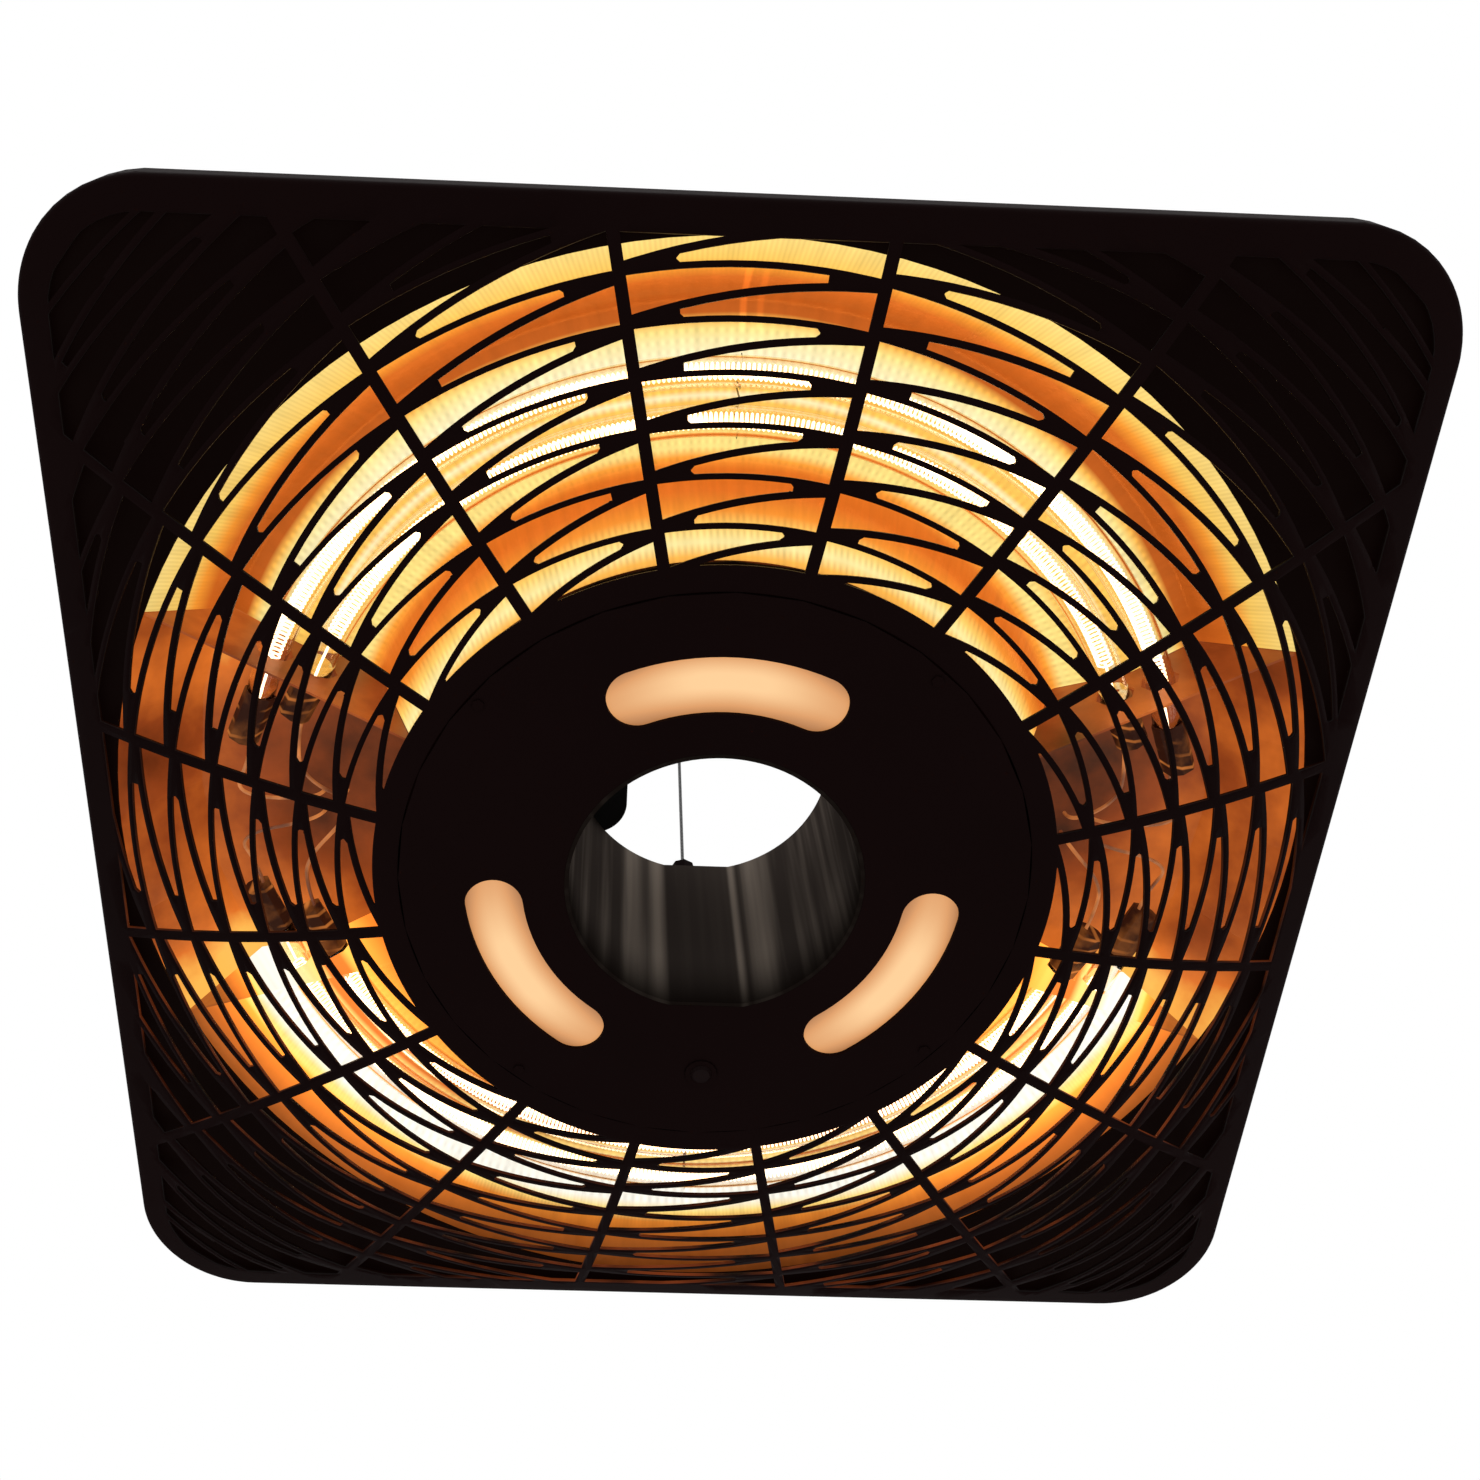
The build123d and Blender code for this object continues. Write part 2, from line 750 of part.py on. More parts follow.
with BuildPart() as ceiling_plate:
    with BuildSketch(Plane.XY.offset(ceiling_z)):
        plate_face = Rectangle(2 * plate_half, 2 * plate_half)
        chamfer(plate_face.vertices(), plate_corner)
        with PolarLocations(plate_screw_circle, plate_screws, 45):
            Circle(plate_screw_r, mode=Mode.SUBTRACT)
    extrude(amount=plate_thick)
save(ceiling_plate, "ceiling_plate")
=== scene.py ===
from math import atan2, cos, degrees, hypot, pi, radians, sin

import bmesh
import bpy
from mathutils import Matrix, Vector


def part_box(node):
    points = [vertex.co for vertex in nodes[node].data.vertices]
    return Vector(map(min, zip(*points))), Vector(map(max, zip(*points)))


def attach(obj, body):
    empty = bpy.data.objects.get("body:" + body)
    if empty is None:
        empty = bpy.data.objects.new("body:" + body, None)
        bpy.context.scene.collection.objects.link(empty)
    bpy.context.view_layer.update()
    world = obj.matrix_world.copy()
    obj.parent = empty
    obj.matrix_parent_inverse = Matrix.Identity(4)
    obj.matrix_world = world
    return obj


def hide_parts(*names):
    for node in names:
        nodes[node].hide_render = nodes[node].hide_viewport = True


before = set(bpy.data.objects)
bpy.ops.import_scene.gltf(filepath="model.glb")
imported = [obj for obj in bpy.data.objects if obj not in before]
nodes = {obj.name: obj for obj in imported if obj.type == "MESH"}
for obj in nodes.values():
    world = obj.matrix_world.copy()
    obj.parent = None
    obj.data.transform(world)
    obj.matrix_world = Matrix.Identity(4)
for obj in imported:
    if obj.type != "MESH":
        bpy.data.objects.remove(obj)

print("heater: CAD model loaded")
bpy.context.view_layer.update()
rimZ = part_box("chassis_frame")[0].z  # the rim plane, from which heights are measured
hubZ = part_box("hub_cover")[0].z


# Camera, below the heater and a little in front of it, looking up
cameraView = {
    "place": (-0.03890, -0.27199, -0.78767),
    "turn": (153.318, 0.330, -2.289),
    "lens": 37.045,
    "shift": (0.06909, -0.00413),
}
cameraData = bpy.data.cameras.new("camera")
cameraData.lens = cameraView["lens"]
cameraData.sensor_width = 36
cameraData.shift_x, cameraData.shift_y = cameraView["shift"]
cameraData.clip_start = 0.01
camera = bpy.data.objects.new("camera", cameraData)
camera.location = cameraView["place"]
camera.rotation_euler = [radians(a) for a in cameraView["turn"]]
bpy.context.collection.objects.link(camera)
bpy.context.scene.camera = camera


# Shader values: arithmetic on a Value adds Math nodes
class Value:
    def __init__(self, tree, socket):
        self.tree = tree
        self.socket = socket

    def node(self, kind, settings=None, sockets=None, output=0):
        added = self.tree.nodes.new(kind)
        for name, setting in (settings or {}).items():
            if name == "stops":
                ramp = added.color_ramp
                while len(ramp.elements) < len(setting):
                    ramp.elements.new(0.5)
                for element, (place, colour) in zip(ramp.elements, setting):
                    element.position = place
                    element.color = (*colour, 1)
            else:
                setattr(added, name, setting)
        for name, given in (sockets or {}).items():
            if isinstance(given, Value):
                self.tree.links.new(given.socket, added.inputs[name])
            else:
                added.inputs[name].default_value = given
        return Value(self.tree, added.outputs[output])

    def math(self, operation, first, second=0.0, third=0.0):
        return self.node("ShaderNodeMath", {"operation": operation}, {0: first, 1: second, 2: third})

    def __add__(self, other):
        return self.math("ADD", self, other)

    __radd__ = __add__

    def __mul__(self, other):
        return self.math("MULTIPLY", self, other)

    __rmul__ = __mul__

    def __sub__(self, other):
        return self.math("SUBTRACT", self, other)

    def __rsub__(self, other):
        return self.math("SUBTRACT", other, self)

    def __truediv__(self, other):
        return self.math("DIVIDE", self, other)

    def __pow__(self, other):
        return self.math("POWER", self, other)

    def __abs__(self):
        return self.math("ABSOLUTE", self)

    def wave(self):
        return self.math("SINE", self)

    def scaled(self, gain, base):
        return self * gain + base

    def ramp(self, low, high):
        return self.node(
            "ShaderNodeMapRange",
            {"interpolation_type": "SMOOTHSTEP"},
            {"Value": self, "From Min": low, "From Max": high},
        )

    def blend(self, off, on):
        return self.node("ShaderNodeMix", {"data_type": "RGBA"}, {0: self, 6: off, 7: on}, output=2)


def grey(level):
    return (level, level, level, 1)


# Linear colour of a screen colour given as 0 to 255
def tone(red, green, blue):
    return tuple((c / 255) ** 2.2 for c in (red, green, blue))


def radiusStops(low, high, stops):
    return [((radius - low) / (high - low), tone(*colour)) for radius, colour in stops]


def startMaterial(name, **uniform):
    material = bpy.data.materials.new(name)
    material.use_nodes = True
    tree = material.node_tree
    shader = tree.nodes["Principled BSDF"]
    for socket, value in uniform.items():
        shader.inputs[socket.replace("_", " ")].default_value = value
    coordinates = tree.nodes.new("ShaderNodeTexCoord")
    place = Value(tree, coordinates.outputs["Object"])
    return material, shader, place


def link(value, shader, socket):
    value.tree.links.new(value.socket, shader.inputs[socket])


def axes(place):
    split = place.node("ShaderNodeSeparateXYZ", None, {0: place})
    outputs = split.socket.node.outputs
    return [Value(place.tree, outputs[i]) for i in range(3)]


def radiusOf(x, y):
    return (x * x + y * y) ** 0.5


def turnOf(x, y):
    return x.math("ARCTAN2", y, x)


def noise(place, scale, detail=4.0, roughness=0.5):
    sockets = {"Vector": place, "Scale": scale, "Detail": detail, "Roughness": roughness}
    return place.node("ShaderNodeTexNoise", None, sockets)


def colourRamp(level, stops):
    return level.node("ShaderNodeValToRGB", {"stops": stops}, {0: level})


def bump(height, shader, strength, distance):
    made = height.node(
        "ShaderNodeBump", None, {"Strength": strength, "Distance": distance, "Height": height}
    )
    link(made, shader, "Normal")


paintGrain = {"scale": 2600, "strength": 0.25, "depth": 0.00012}


def powderCoat():
    look = {
        "low": (0.0066, 0.0027, 0.0026, 1),
        "high": (0.0108, 0.0045, 0.0045, 1),
        "mottle": 14,
    }
    material, shader, place = startMaterial("powder coat", Specular_IOR_Level=0.015)
    mottle = noise(place, look["mottle"])
    link(mottle.blend(look["low"], look["high"]), shader, "Base Color")
    link(mottle.scaled(gain=0.14, base=0.55), shader, "Roughness")
    bump(noise(place, paintGrain["scale"], 2), shader, paintGrain["strength"], paintGrain["depth"])
    return material


# The same coat on the cover, with painted light from above: its base colour lightens from the hem up to the
# crown
def coverPaint():
    look = {
        "below": (0.0046, 0.0026, 0.0022, 1),
        "above": (0.0170, 0.0155, 0.0150, 1),
        "heights": (rimZ + 0.026, rimZ + 0.075),
        "waver": 0.02,
        "waverScale": 9,
    }
    material, shader, place = startMaterial("cover paint", Specular_IOR_Level=0.02)
    x, y, z = axes(place)
    height = (z + look["waver"] * noise(place, look["waverScale"], 2)).ramp(*look["heights"])
    grain = noise(place, paintGrain["scale"], 2)
    # painted light and shade: lighter high on the cover, darker at the hem
    link(height.blend(look["below"], look["above"]), shader, "Base Color")
    link(grain.scaled(gain=0.12, base=0.52), shader, "Roughness")
    bump(grain, shader, paintGrain["strength"], paintGrain["depth"])
    return material


# Cut edges of the grille, which catch the lamps on the far side and fade towards the corners
def litEdge():
    look = {
        "dark": tone(16, 9, 8),
        "lit": tone(132, 60, 28),
        "side": (-0.06, 0.10),
        "outerFade": (0.240, 0.200),
        "innerFade": (0.12, 0.18),
        "patches": 34,
        "patchRange": (0.35, 0.75),
    }
    material, shader, place = startMaterial(
        "lit edge",
        Roughness=0.5,
        Specular_IOR_Level=0.1,
        Emission_Strength=0.7,
        Base_Color=(0.002, 0.0016, 0.0014, 1),
    )
    x, y, z = axes(place)
    radius = radiusOf(x, y)
    fade = radius.ramp(*look["outerFade"]) * radius.ramp(*look["innerFade"])
    patches = noise(place, look["patches"], 3).ramp(*look["patchRange"])
    level = y.ramp(*look["side"]) * fade * patches
    link(level.blend((*look["dark"], 1), (*look["lit"], 1)), shader, "Emission Color")
    return material


# Dark satin inside, with painted sheen: soft upright streaks of painted reflection, the clearest beside the
# edges of the tube's flat, and painted shade at its foot
def satinTube():
    look = {
        "foot": (0.008, 0.005, 0.004, 1),
        "dark": (0.066, 0.052, 0.045, 1),
        "pale": (0.52, 0.43, 0.35, 1),
        "streaks": (  # place across the tube, half width, share of pale
            (-0.0160, 0.0046, 0.60),
            (-0.0250, 0.0060, 0.40),
            (0.0136, 0.0024, 0.60),
            (0.0215, 0.0065, 0.42),
        ),
        "farSide": (0.0, 0.03),
        "grain": {"across": 3.4, "upright": 2, "scale": 2.6, "range": (0.40, 0.80), "share": 0.30},
        "flatHalf": (0.0116, 0.0130),
        "flatShare": 0.85,
        "footShadeHeights": (hubZ - 0.006, hubZ + 0.030),
    }
    material, shader, place = startMaterial("satin tube", Specular_IOR_Level=0.0)
    x, y, z = axes(place)
    grain = look["grain"]
    # the upright streaks are brushed grain and painted sheen together
    along = {0: turnOf(x, y) * grain["across"], 1: z * grain["upright"], 2: 0.0}
    upright = noise(place.node("ShaderNodeCombineXYZ", None, along), grain["scale"], 2)
    level = upright.ramp(*grain["range"]) * grain["share"]
    # painted reflection: pale streaks on the far side of the tube
    for middle, width, share in look["streaks"]:
        level = level + abs(x - middle).ramp(width, 0.0) * y.ramp(*look["farSide"]) * share
    besideFlat = abs(x).ramp(*look["flatHalf"])
    level = level * besideFlat.scaled(gain=look["flatShare"], base=1 - look["flatShare"])
    satin = level.blend(look["dark"], look["pale"])
    # painted shade: darker at the foot, towards the hub
    link(z.ramp(*look["footShadeHeights"]).blend(look["foot"], satin), shader, "Base Color")
    link(level.scaled(gain=0.2, base=0.45), shader, "Roughness")
    return material


# The lamps' mirror images are painted as glowing rings on the trough, broken into dots by its rows of fine
# dimples.
# On an upright wall the painted rings lean, and meet the trough's own where the wall's foot covers them.
def hammeredReflector(name, side, bands, lean=0.0):
    look = {
        "metal": (0.06, 0.025, 0.008, 1),
        "low": 0.104,
        "high": 0.207,
        "wobble": 0.005,
        "wobbleScale": 9,
        "outer": (0.186, 0.192),
        "ribs": 820,  # in a full turn, on the outer slope
        "ribDepth": 0.06,
        "dots": 340,
        "dotDepth": 0.12,
        "rowPitch": 0.0030,
        "rowDepth": 0.4,
        "dimpled": (0.12, 0.5),  # brightness over which the dimples come out
        "streaks": {"round": 9, "outward": 14, "scale": 4, "depth": 0.42},
        "aside": (0.06, 0.16),
        "dimBelow": (0.3, 0.8),
        "brightGain": 0.12,
        "dimGain": 1.5,
        "dimLoss": 0.30,
        "nearAside": (0.18, 0.10),
        "nearLoss": 0.14,
        "highlightLines": ((0.0008, 1.0), (0.0062, 0.5)),
        "highlightWidth": (0.0016, 0.0004),
        "highlightEnds": ((0.170, 0.176), (0.196, 0.188)),
        "highlightGlow": 0.55,
        "wallTop": rimZ + 0.027,
    }
    material, shader, place = startMaterial(
        name, Metallic=1.0, Emission_Strength=1.0, Base_Color=look["metal"]
    )
    x, y, z = axes(place)
    turn = turnOf(x, y)
    radius = radiusOf(x, y) + lean * (look["wallTop"] - z)
    wobble = (noise(place, look["wobbleScale"], 2) - 0.5) * look["wobble"]
    share = (radius + wobble - look["low"]) / (look["high"] - look["low"])
    glow = colourRamp(share, radiusStops(look["low"], look["high"], bands))
    bright = glow.node("ShaderNodeSeparateColor", {"mode": "RGB"}, {0: glow}, output=1)
    outer = radius.ramp(*look["outer"])
    ribs = (turn * look["ribs"]).wave() * look["ribDepth"] * outer
    rowWave = (radius * (2 * pi / look["rowPitch"])).wave()
    rows = rowWave.scaled(gain=look["rowDepth"], base=1 - look["rowDepth"])
    dots = (turn * look["dots"]).wave() * rows * look["dotDepth"] * (1 - outer)
    streak = look["streaks"]
    spread = {0: turn * streak["round"], 1: radius * streak["outward"], 2: 0.0}
    streaks = noise(place.node("ShaderNodeCombineXYZ", None, spread), streak["scale"], 3)
    level = 1.0 + (ribs + dots) * bright.ramp(*look["dimpled"]) + (streaks - 0.5) * streak["depth"]
    if side > 0:
        # painted light: on the far trough the bright rings gain to the sides, the dim ones darken in the
        # middle and lighten to the sides
        sideways = abs(x).ramp(*look["aside"])
        dim = 1 - bright.ramp(*look["dimBelow"])
        level = level + sideways * (1 - dim) * look["brightGain"]
        level = level + dim * (sideways * look["dimGain"] - look["dimLoss"])
    else:
        # painted shade: the near trough's rings dim towards its ends
        inward = abs(x).ramp(*look["nearAside"])
        level = level * inward.scaled(gain=look["nearLoss"], base=1 - look["nearLoss"])
        # painted highlight: two thin bright lines beside the middle of the near trough, on its outer slope
        highlightLine = sum(abs(x - at).ramp(*look["highlightWidth"]) * part for at, part in look["highlightLines"])
        rise, fall = (radius.ramp(*ends) for ends in look["highlightEnds"])
        level = level + highlightLine * rise * fall * look["highlightGlow"]
    lit = glow.node("ShaderNodeVectorMath", {"operation": "SCALE"}, {0: glow, "Scale": level})
    link(lit, shader, "Emission Color")
    link(streaks.scaled(gain=0.12, base=0.24), shader, "Roughness")
    bump(dots + noise(place, 260, 3), shader, 0.4, 0.0005)
    return material


# Radius and screen colour of each ring of painted lamp reflection
nearBands = [
    (0.1050, (180, 90, 35)),
    (0.1105, (255, 184, 82)),
    (0.1130, (255, 236, 162)),
    (0.1160, (255, 205, 104)),
    (0.1190, (246, 144, 52)),
    (0.1230, (214, 104, 35)),
    (0.1275, (218, 108, 37)),
    (0.1305, (255, 160, 60)),
    (0.1340, (255, 226, 134)),
    (0.1395, (255, 222, 128)),
    (0.1430, (255, 188, 84)),
    (0.1500, (255, 196, 92)),
    (0.1522, (255, 240, 186)),
    (0.1540, (255, 196, 90)),
    (0.1590, (255, 200, 94)),
    (0.1635, (255, 244, 200)),
    (0.1690, (255, 236, 168)),
    (0.1720, (255, 226, 136)),
    (0.1745, (255, 186, 84)),
    (0.1768, (192, 92, 34)),
    (0.1830, (184, 86, 30)),
    (0.1890, (210, 103, 37)),
    (0.1925, (252, 154, 55)),
    (0.1960, (255, 204, 98)),
    (0.2040, (255, 220, 128)),
]
farBands = [
    (0.105, (140, 66, 30)),
    (0.120, (180, 86, 36)),
    (0.137, (222, 112, 40)),
    (0.146, (255, 156, 60)),
    (0.152, (255, 186, 82)),
    (0.156, (208, 106, 44)),
    (0.163, (196, 100, 42)),
    (0.167, (255, 208, 116)),
    (0.174, (255, 236, 164)),
    (0.178, (255, 252, 238)),
    (0.1875, (255, 252, 238)),
    (0.1900, (255, 220, 124)),
    (0.1925, (240, 138, 50)),
    (0.1955, (194, 103, 38)),
    (0.2000, (148, 76, 30)),
    (0.2045, (112, 59, 26)),
]


# Plain sheet of the two end bays, with the lamps' light from their ends painted on it as a glow
def dullSheet():
    look = {
        "stops": ((0.0, (48, 23, 15)), (0.35, (136, 62, 28)), (0.72, (216, 110, 42)), (1.0, (255, 186, 84))),
        "base": 0.10,
        "outward": 0.32,
        "aside": 0.16,
        "besideTrough": 0.46,
        "nearWallShade": 0.17,
        "clouds": 1.35,
        "cloudScale": 19,
    }
    material, shader, place = startMaterial(
        "dull sheet", Metallic=0.85, Emission_Strength=1.0, Base_Color=(0.07, 0.035, 0.02, 1)
    )
    x, y, z = axes(place)
    radius = radiusOf(x, y)
    clouds = noise(place, look["cloudScale"], 5, 0.55)
    # painted light: brighter outward and to the sides, a glow beside the far trough, painted shade by the
    # near trough, broken into clouds
    outward = radius.ramp(0.11, 0.19)
    aside = abs(y + 0.004).ramp(0.0, 0.075)
    besideTrough = y.ramp(0.048, 0.074) * radius.ramp(0.150, 0.185)
    nearWallShade = y.ramp(-0.050, -0.070)
    level = outward * look["outward"] + aside * look["aside"] + besideTrough * look["besideTrough"]
    level = level - nearWallShade * look["nearWallShade"] + (clouds - 0.5) * look["clouds"] + look["base"]
    glow = colourRamp(level, [(at, tone(*colour)) for at, colour in look["stops"]])
    link(glow, shader, "Emission Color")
    link(clouds.scaled(gain=0.25, base=0.28), shader, "Roughness")
    bump(noise(place, 90, 3), shader, 0.3, 0.0008)
    return material


# Black frame paint, with a faint painted glow that fills its shade
def framePaint():
    look = {"low": (0.0022, 0.0014, 0.0011, 1), "high": (0.0050, 0.0032, 0.0026, 1), "mottle": 20}
    material, shader, place = startMaterial(
        "frame paint",
        Specular_IOR_Level=0.02,
        Roughness=0.6,
        Emission_Strength=1.0,
        Emission_Color=(*tone(15, 8, 7), 1),
    )
    link(noise(place, look["mottle"]).blend(look["low"], look["high"]), shader, "Base Color")
    return material


def glowingCoil():
    look = {"warm": (1.0, 0.58, 0.27, 1), "white": (1.0, 0.84, 0.58, 1), "power": 4.0}
    material, shader, place = startMaterial(
        "glowing coil", Emission_Strength=look["power"], Roughness=0.6, Base_Color=(0.5, 0.3, 0.15, 1)
    )
    flicker = noise(place, 60, 2).ramp(0.3, 0.7)
    link(flicker.blend(look["warm"], look["white"]), shader, "Emission Color")
    return material


def quartzGlass():
    material, shader, place = startMaterial(
        "quartz glass", Transmission_Weight=1.0, IOR=1.46, Roughness=0.03
    )
    link(noise(place, 40, 2).blend((1.0, 0.93, 0.86, 1), (1.0, 0.98, 0.95, 1)), shader, "Base Color")
    return material


# Lamp ends in the dim bays: dark, with orange light on the side towards the lamps
def ceramicCap():
    look = {
        "low": (0.020, 0.010, 0.007, 1),
        "high": (0.075, 0.040, 0.026, 1),
        "dark": tone(40, 19, 13),
        "lit": tone(232, 134, 62),
        "towardsLamps": (0.050, 0.066),
        "towardsShare": 0.55,
        "rings": 1300,
        "highlightRingRange": (0.55, 1.0),
        "highlightRingShare": 0.6,
        "patches": 45,
        "patchRange": (0.42, 0.62),
        "mottle": 120,
        "mottleShare": 0.7,
    }
    material, shader, place = startMaterial(
        "ceramic cap", Roughness=0.6, Specular_IOR_Level=0.1, Emission_Strength=0.9
    )
    x, y, z = axes(place)
    mottle = noise(place, look["mottle"], 3)
    patches = noise(place, look["patches"], 2).ramp(*look["patchRange"])
    # painted highlights: orange rings across the caps, in patches
    rings = (y * look["rings"]).wave().ramp(*look["highlightRingRange"]) * patches
    towards = abs(y).ramp(*look["towardsLamps"]) * look["towardsShare"]
    level = towards + rings * look["highlightRingShare"] + (mottle - 0.45) * look["mottleShare"]
    link(mottle.blend(look["low"], look["high"]), shader, "Base Color")
    link(level.blend((*look["dark"], 1), (*look["lit"], 1)), shader, "Emission Color")
    bump(mottle, shader, 0.3, 0.0002)
    return material


def litLead():
    look = {"dark": tone(96, 46, 26), "lit": tone(226, 134, 70), "patches": 70}
    material, shader, place = startMaterial(
        "lit lead", Roughness=0.5, Emission_Strength=0.8, Base_Color=(0.20, 0.13, 0.09, 1)
    )
    patches = noise(place, look["patches"], 3).ramp(0.35, 0.7)
    link(patches.blend((*look["dark"], 1), (*look["lit"], 1)), shader, "Emission Color")
    return material


# Middle is the window's own angle; the light fades from its heart to its sides and ends
def frostedWindow(middle):
    look = {
        "edge": tone(140, 86, 48),
        "body": tone(222, 154, 95),
        "heart": tone(255, 206, 148),
        "radius": 0.075,
        "sideFade": (0.0115, 0.001),
        "endFade": (0.040, 0.008),
        "clouds": 0.04,
    }
    material, shader, place = startMaterial(
        "frosted window", Emission_Strength=0.95, Roughness=0.5, Base_Color=(0.07, 0.05, 0.04, 1)
    )
    x, y, z = axes(place)
    radius = radiusOf(x, y)
    along = abs(x * cos(middle + pi / 2) + y * sin(middle + pi / 2))
    across = abs(radius - look["radius"]).ramp(*look["sideFade"]).scaled(gain=0.66, base=0.30)
    ends = along.ramp(*look["endFade"]).scaled(gain=0.52, base=0.48)
    level = across * ends + noise(place, 60, 2) * look["clouds"]
    glow = colourRamp(level, [(0.10, look["edge"]), (0.45, look["body"]), (0.95, look["heart"])])
    link(glow, shader, "Emission Color")
    return material


def zincSheet():
    material, shader, place = startMaterial("zinc sheet", Metallic=0.9)
    spangle = place.node("ShaderNodeTexVoronoi", None, {"Vector": place, "Scale": 90.0}, output=1)
    flakes = spangle.node("ShaderNodeSeparateColor", None, {0: spangle})
    link(flakes.blend((0.30, 0.30, 0.31, 1), (0.46, 0.46, 0.47, 1)), shader, "Base Color")
    link(flakes.scaled(gain=0.2, base=0.35), shader, "Roughness")
    return material


def mouldedPlastic(name, dark, pale):
    material, shader, place = startMaterial(name, Specular_IOR_Level=0.12)
    grain = noise(place, 900, 2)
    link(noise(place, 30).blend(dark, pale), shader, "Base Color")
    link(grain.scaled(gain=0.15, base=0.45), shader, "Roughness")
    bump(grain, shader, 0.3, 0.0002)
    return material


def circuitBoard():
    material, shader, place = startMaterial("circuit board", Roughness=0.35)
    bricks = place.node("ShaderNodeTexBrick", None, {"Vector": place, "Scale": 140.0})
    tracks = bricks.node("ShaderNodeSeparateColor", None, {0: bricks})
    link(tracks.blend((0.01, 0.07, 0.03, 1), (0.03, 0.16, 0.07, 1)), shader, "Base Color")
    return material


def platedMetal(name, colour, rough):
    material, shader, place = startMaterial(name, Metallic=1.0)
    smear = noise(place, 120, 3)
    darker = [c * 0.8 for c in colour]
    link(smear.blend([*darker, 1], [*colour, 1]), shader, "Base Color")
    link(smear.scaled(gain=0.15, base=rough), shader, "Roughness")
    return material


def strandedWire():
    look = {"strandPitch": 0.006, "strands": 6, "slant": 900}
    material, shader, place = startMaterial("stranded wire", Metallic=0.9, Roughness=0.4)
    x, y, z = axes(place)
    turns = (z * (2 * pi * look["strands"] / look["strandPitch"]) + (x + y) * look["slant"]).wave()
    groove = turns.scaled(gain=0.5, base=0.5)
    # painted shade: darker in the grooves between the strands
    link(groove.blend((0.03, 0.03, 0.03, 1), (0.16, 0.16, 0.16, 1)), shader, "Base Color")
    bump(groove, shader, 0.6, 0.0002)
    return material


def darkLens():
    material, shader, place = startMaterial("dark lens", Roughness=0.35, Specular_IOR_Level=0.03)
    link(noise(place, 200, 2).blend((0.008, 0.004, 0.004, 1), (0.013, 0.006, 0.006, 1)), shader, "Base Color")
    return material


looks = {
    "paint": powderCoat(),
    "cover": coverPaint(),
    "tube": satinTube(),
    "nearTrough": hammeredReflector("near trough", -1, nearBands),
    "farTrough": hammeredReflector("far trough", 1, farBands),
    "farWall": hammeredReflector("far wall", 1, farBands, lean=0.54),
    "frame": framePaint(),
    "litEdge": litEdge(),
    "dull": dullSheet(),
    "coil": glowingCoil(),
    "quartz": quartzGlass(),
    "ceramic": ceramicCap(),
    "lead": litLead(),
    "zinc": zincSheet(),
    "blackPlastic": mouldedPlastic("black plastic", (0.004, 0.0035, 0.003, 1), (0.008, 0.007, 0.0065, 1)),
    "whitePlastic": mouldedPlastic("white plastic", (0.70, 0.70, 0.68, 1), (0.80, 0.80, 0.78, 1)),
    "board": circuitBoard(),
    "nickel": platedMetal("nickel plate", (0.55, 0.54, 0.51), 0.22),
    "lampWire": platedMetal("lamp wire", (0.24, 0.20, 0.17), 0.4),
    "wire": strandedWire(),
    "lens": darkLens(),
}
print("heater: materials made")


# The finish of each CAD node, by the start of its name
finishes = {
    "grille": "paint",
    "hub_cover": "paint",
    "hub_screws": "paint",
    "top_cover": "cover",
    "ceiling_plate": "cover",
    "centre_tube": "tube",
    "reflector_near": "nearTrough",
    "reflector_far": "farTrough",
    "end_wall": "dull",
    "end_wall_far": "farWall",
    "heat_shield": "dull",
    "chassis_frame": "frame",
    "hub_carrier": "frame",
    "light_tray": "zinc",
    "board_posts": "zinc",
    "quartz": "quartz",
    "filament": "coil",
    "lamp_caps": "ceramic",
    "lamp_clip": "lampWire",
    "led_board": "board",
    "control_board": "board",
    "receiver_board": "board",
    "terminal_box": "blackPlastic",
    "terminal_lid": "blackPlastic",
    "gland": "blackPlastic",
    "led_driver": "blackPlastic",
    "terminal_block": "whitePlastic",
    "suspension_wire": "wire",
    "wire_anchor": "paint",
    "grip": "nickel",
    "receiver_lens": "lens",
    "receiver_bezel": "paint",
}


def windowAngle(number):
    return radians(30 + 120 * (number - 1))


def dressNode(node, material):
    for slot in node.material_slots:
        slot.material = material


for name, node in nodes.items():
    if name.startswith("diffuser"):
        dressNode(node, frostedWindow(windowAngle(int(name[-1]))))
        continue
    start = max((key for key in finishes if name.startswith(key)), key=len)
    dressNode(node, looks[finishes[start]])
print("heater: CAD nodes dressed")


def addPiece(name, mesh, material, body="heater", replaced=()):
    if isinstance(mesh, bmesh.types.BMesh):
        data = bpy.data.meshes.new(name)
        mesh.to_mesh(data)
        mesh.free()
    else:
        data = mesh
    piece = bpy.data.objects.new(name, data)
    bpy.context.collection.objects.link(piece)
    if not data.materials:
        data.materials.append(material)
    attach(piece, body)
    if replaced:
        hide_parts(*replaced)
    return piece


def vertsOf(geom):
    return [g for g in geom if isinstance(g, bmesh.types.BMVert)]


def facesOf(geom):
    return [g for g in geom if isinstance(g, bmesh.types.BMFace)]


# Turn every face over where the one picked as a sample points the wrong way
def faceOutwards(bm, sample, up):
    bmesh.ops.recalc_face_normals(bm, faces=bm.faces)
    if (sample(bm.faces).normal.z > 0) != up:
        bmesh.ops.reverse_faces(bm, faces=bm.faces)


def lowestFace(faces):
    return min(faces, key=lambda f: f.calc_center_median().z)


def highestFace(faces):
    return max(faces, key=lambda f: f.calc_center_median().z)


def flattestFace(faces):
    return max(faces, key=lambda f: abs(f.normal.z))


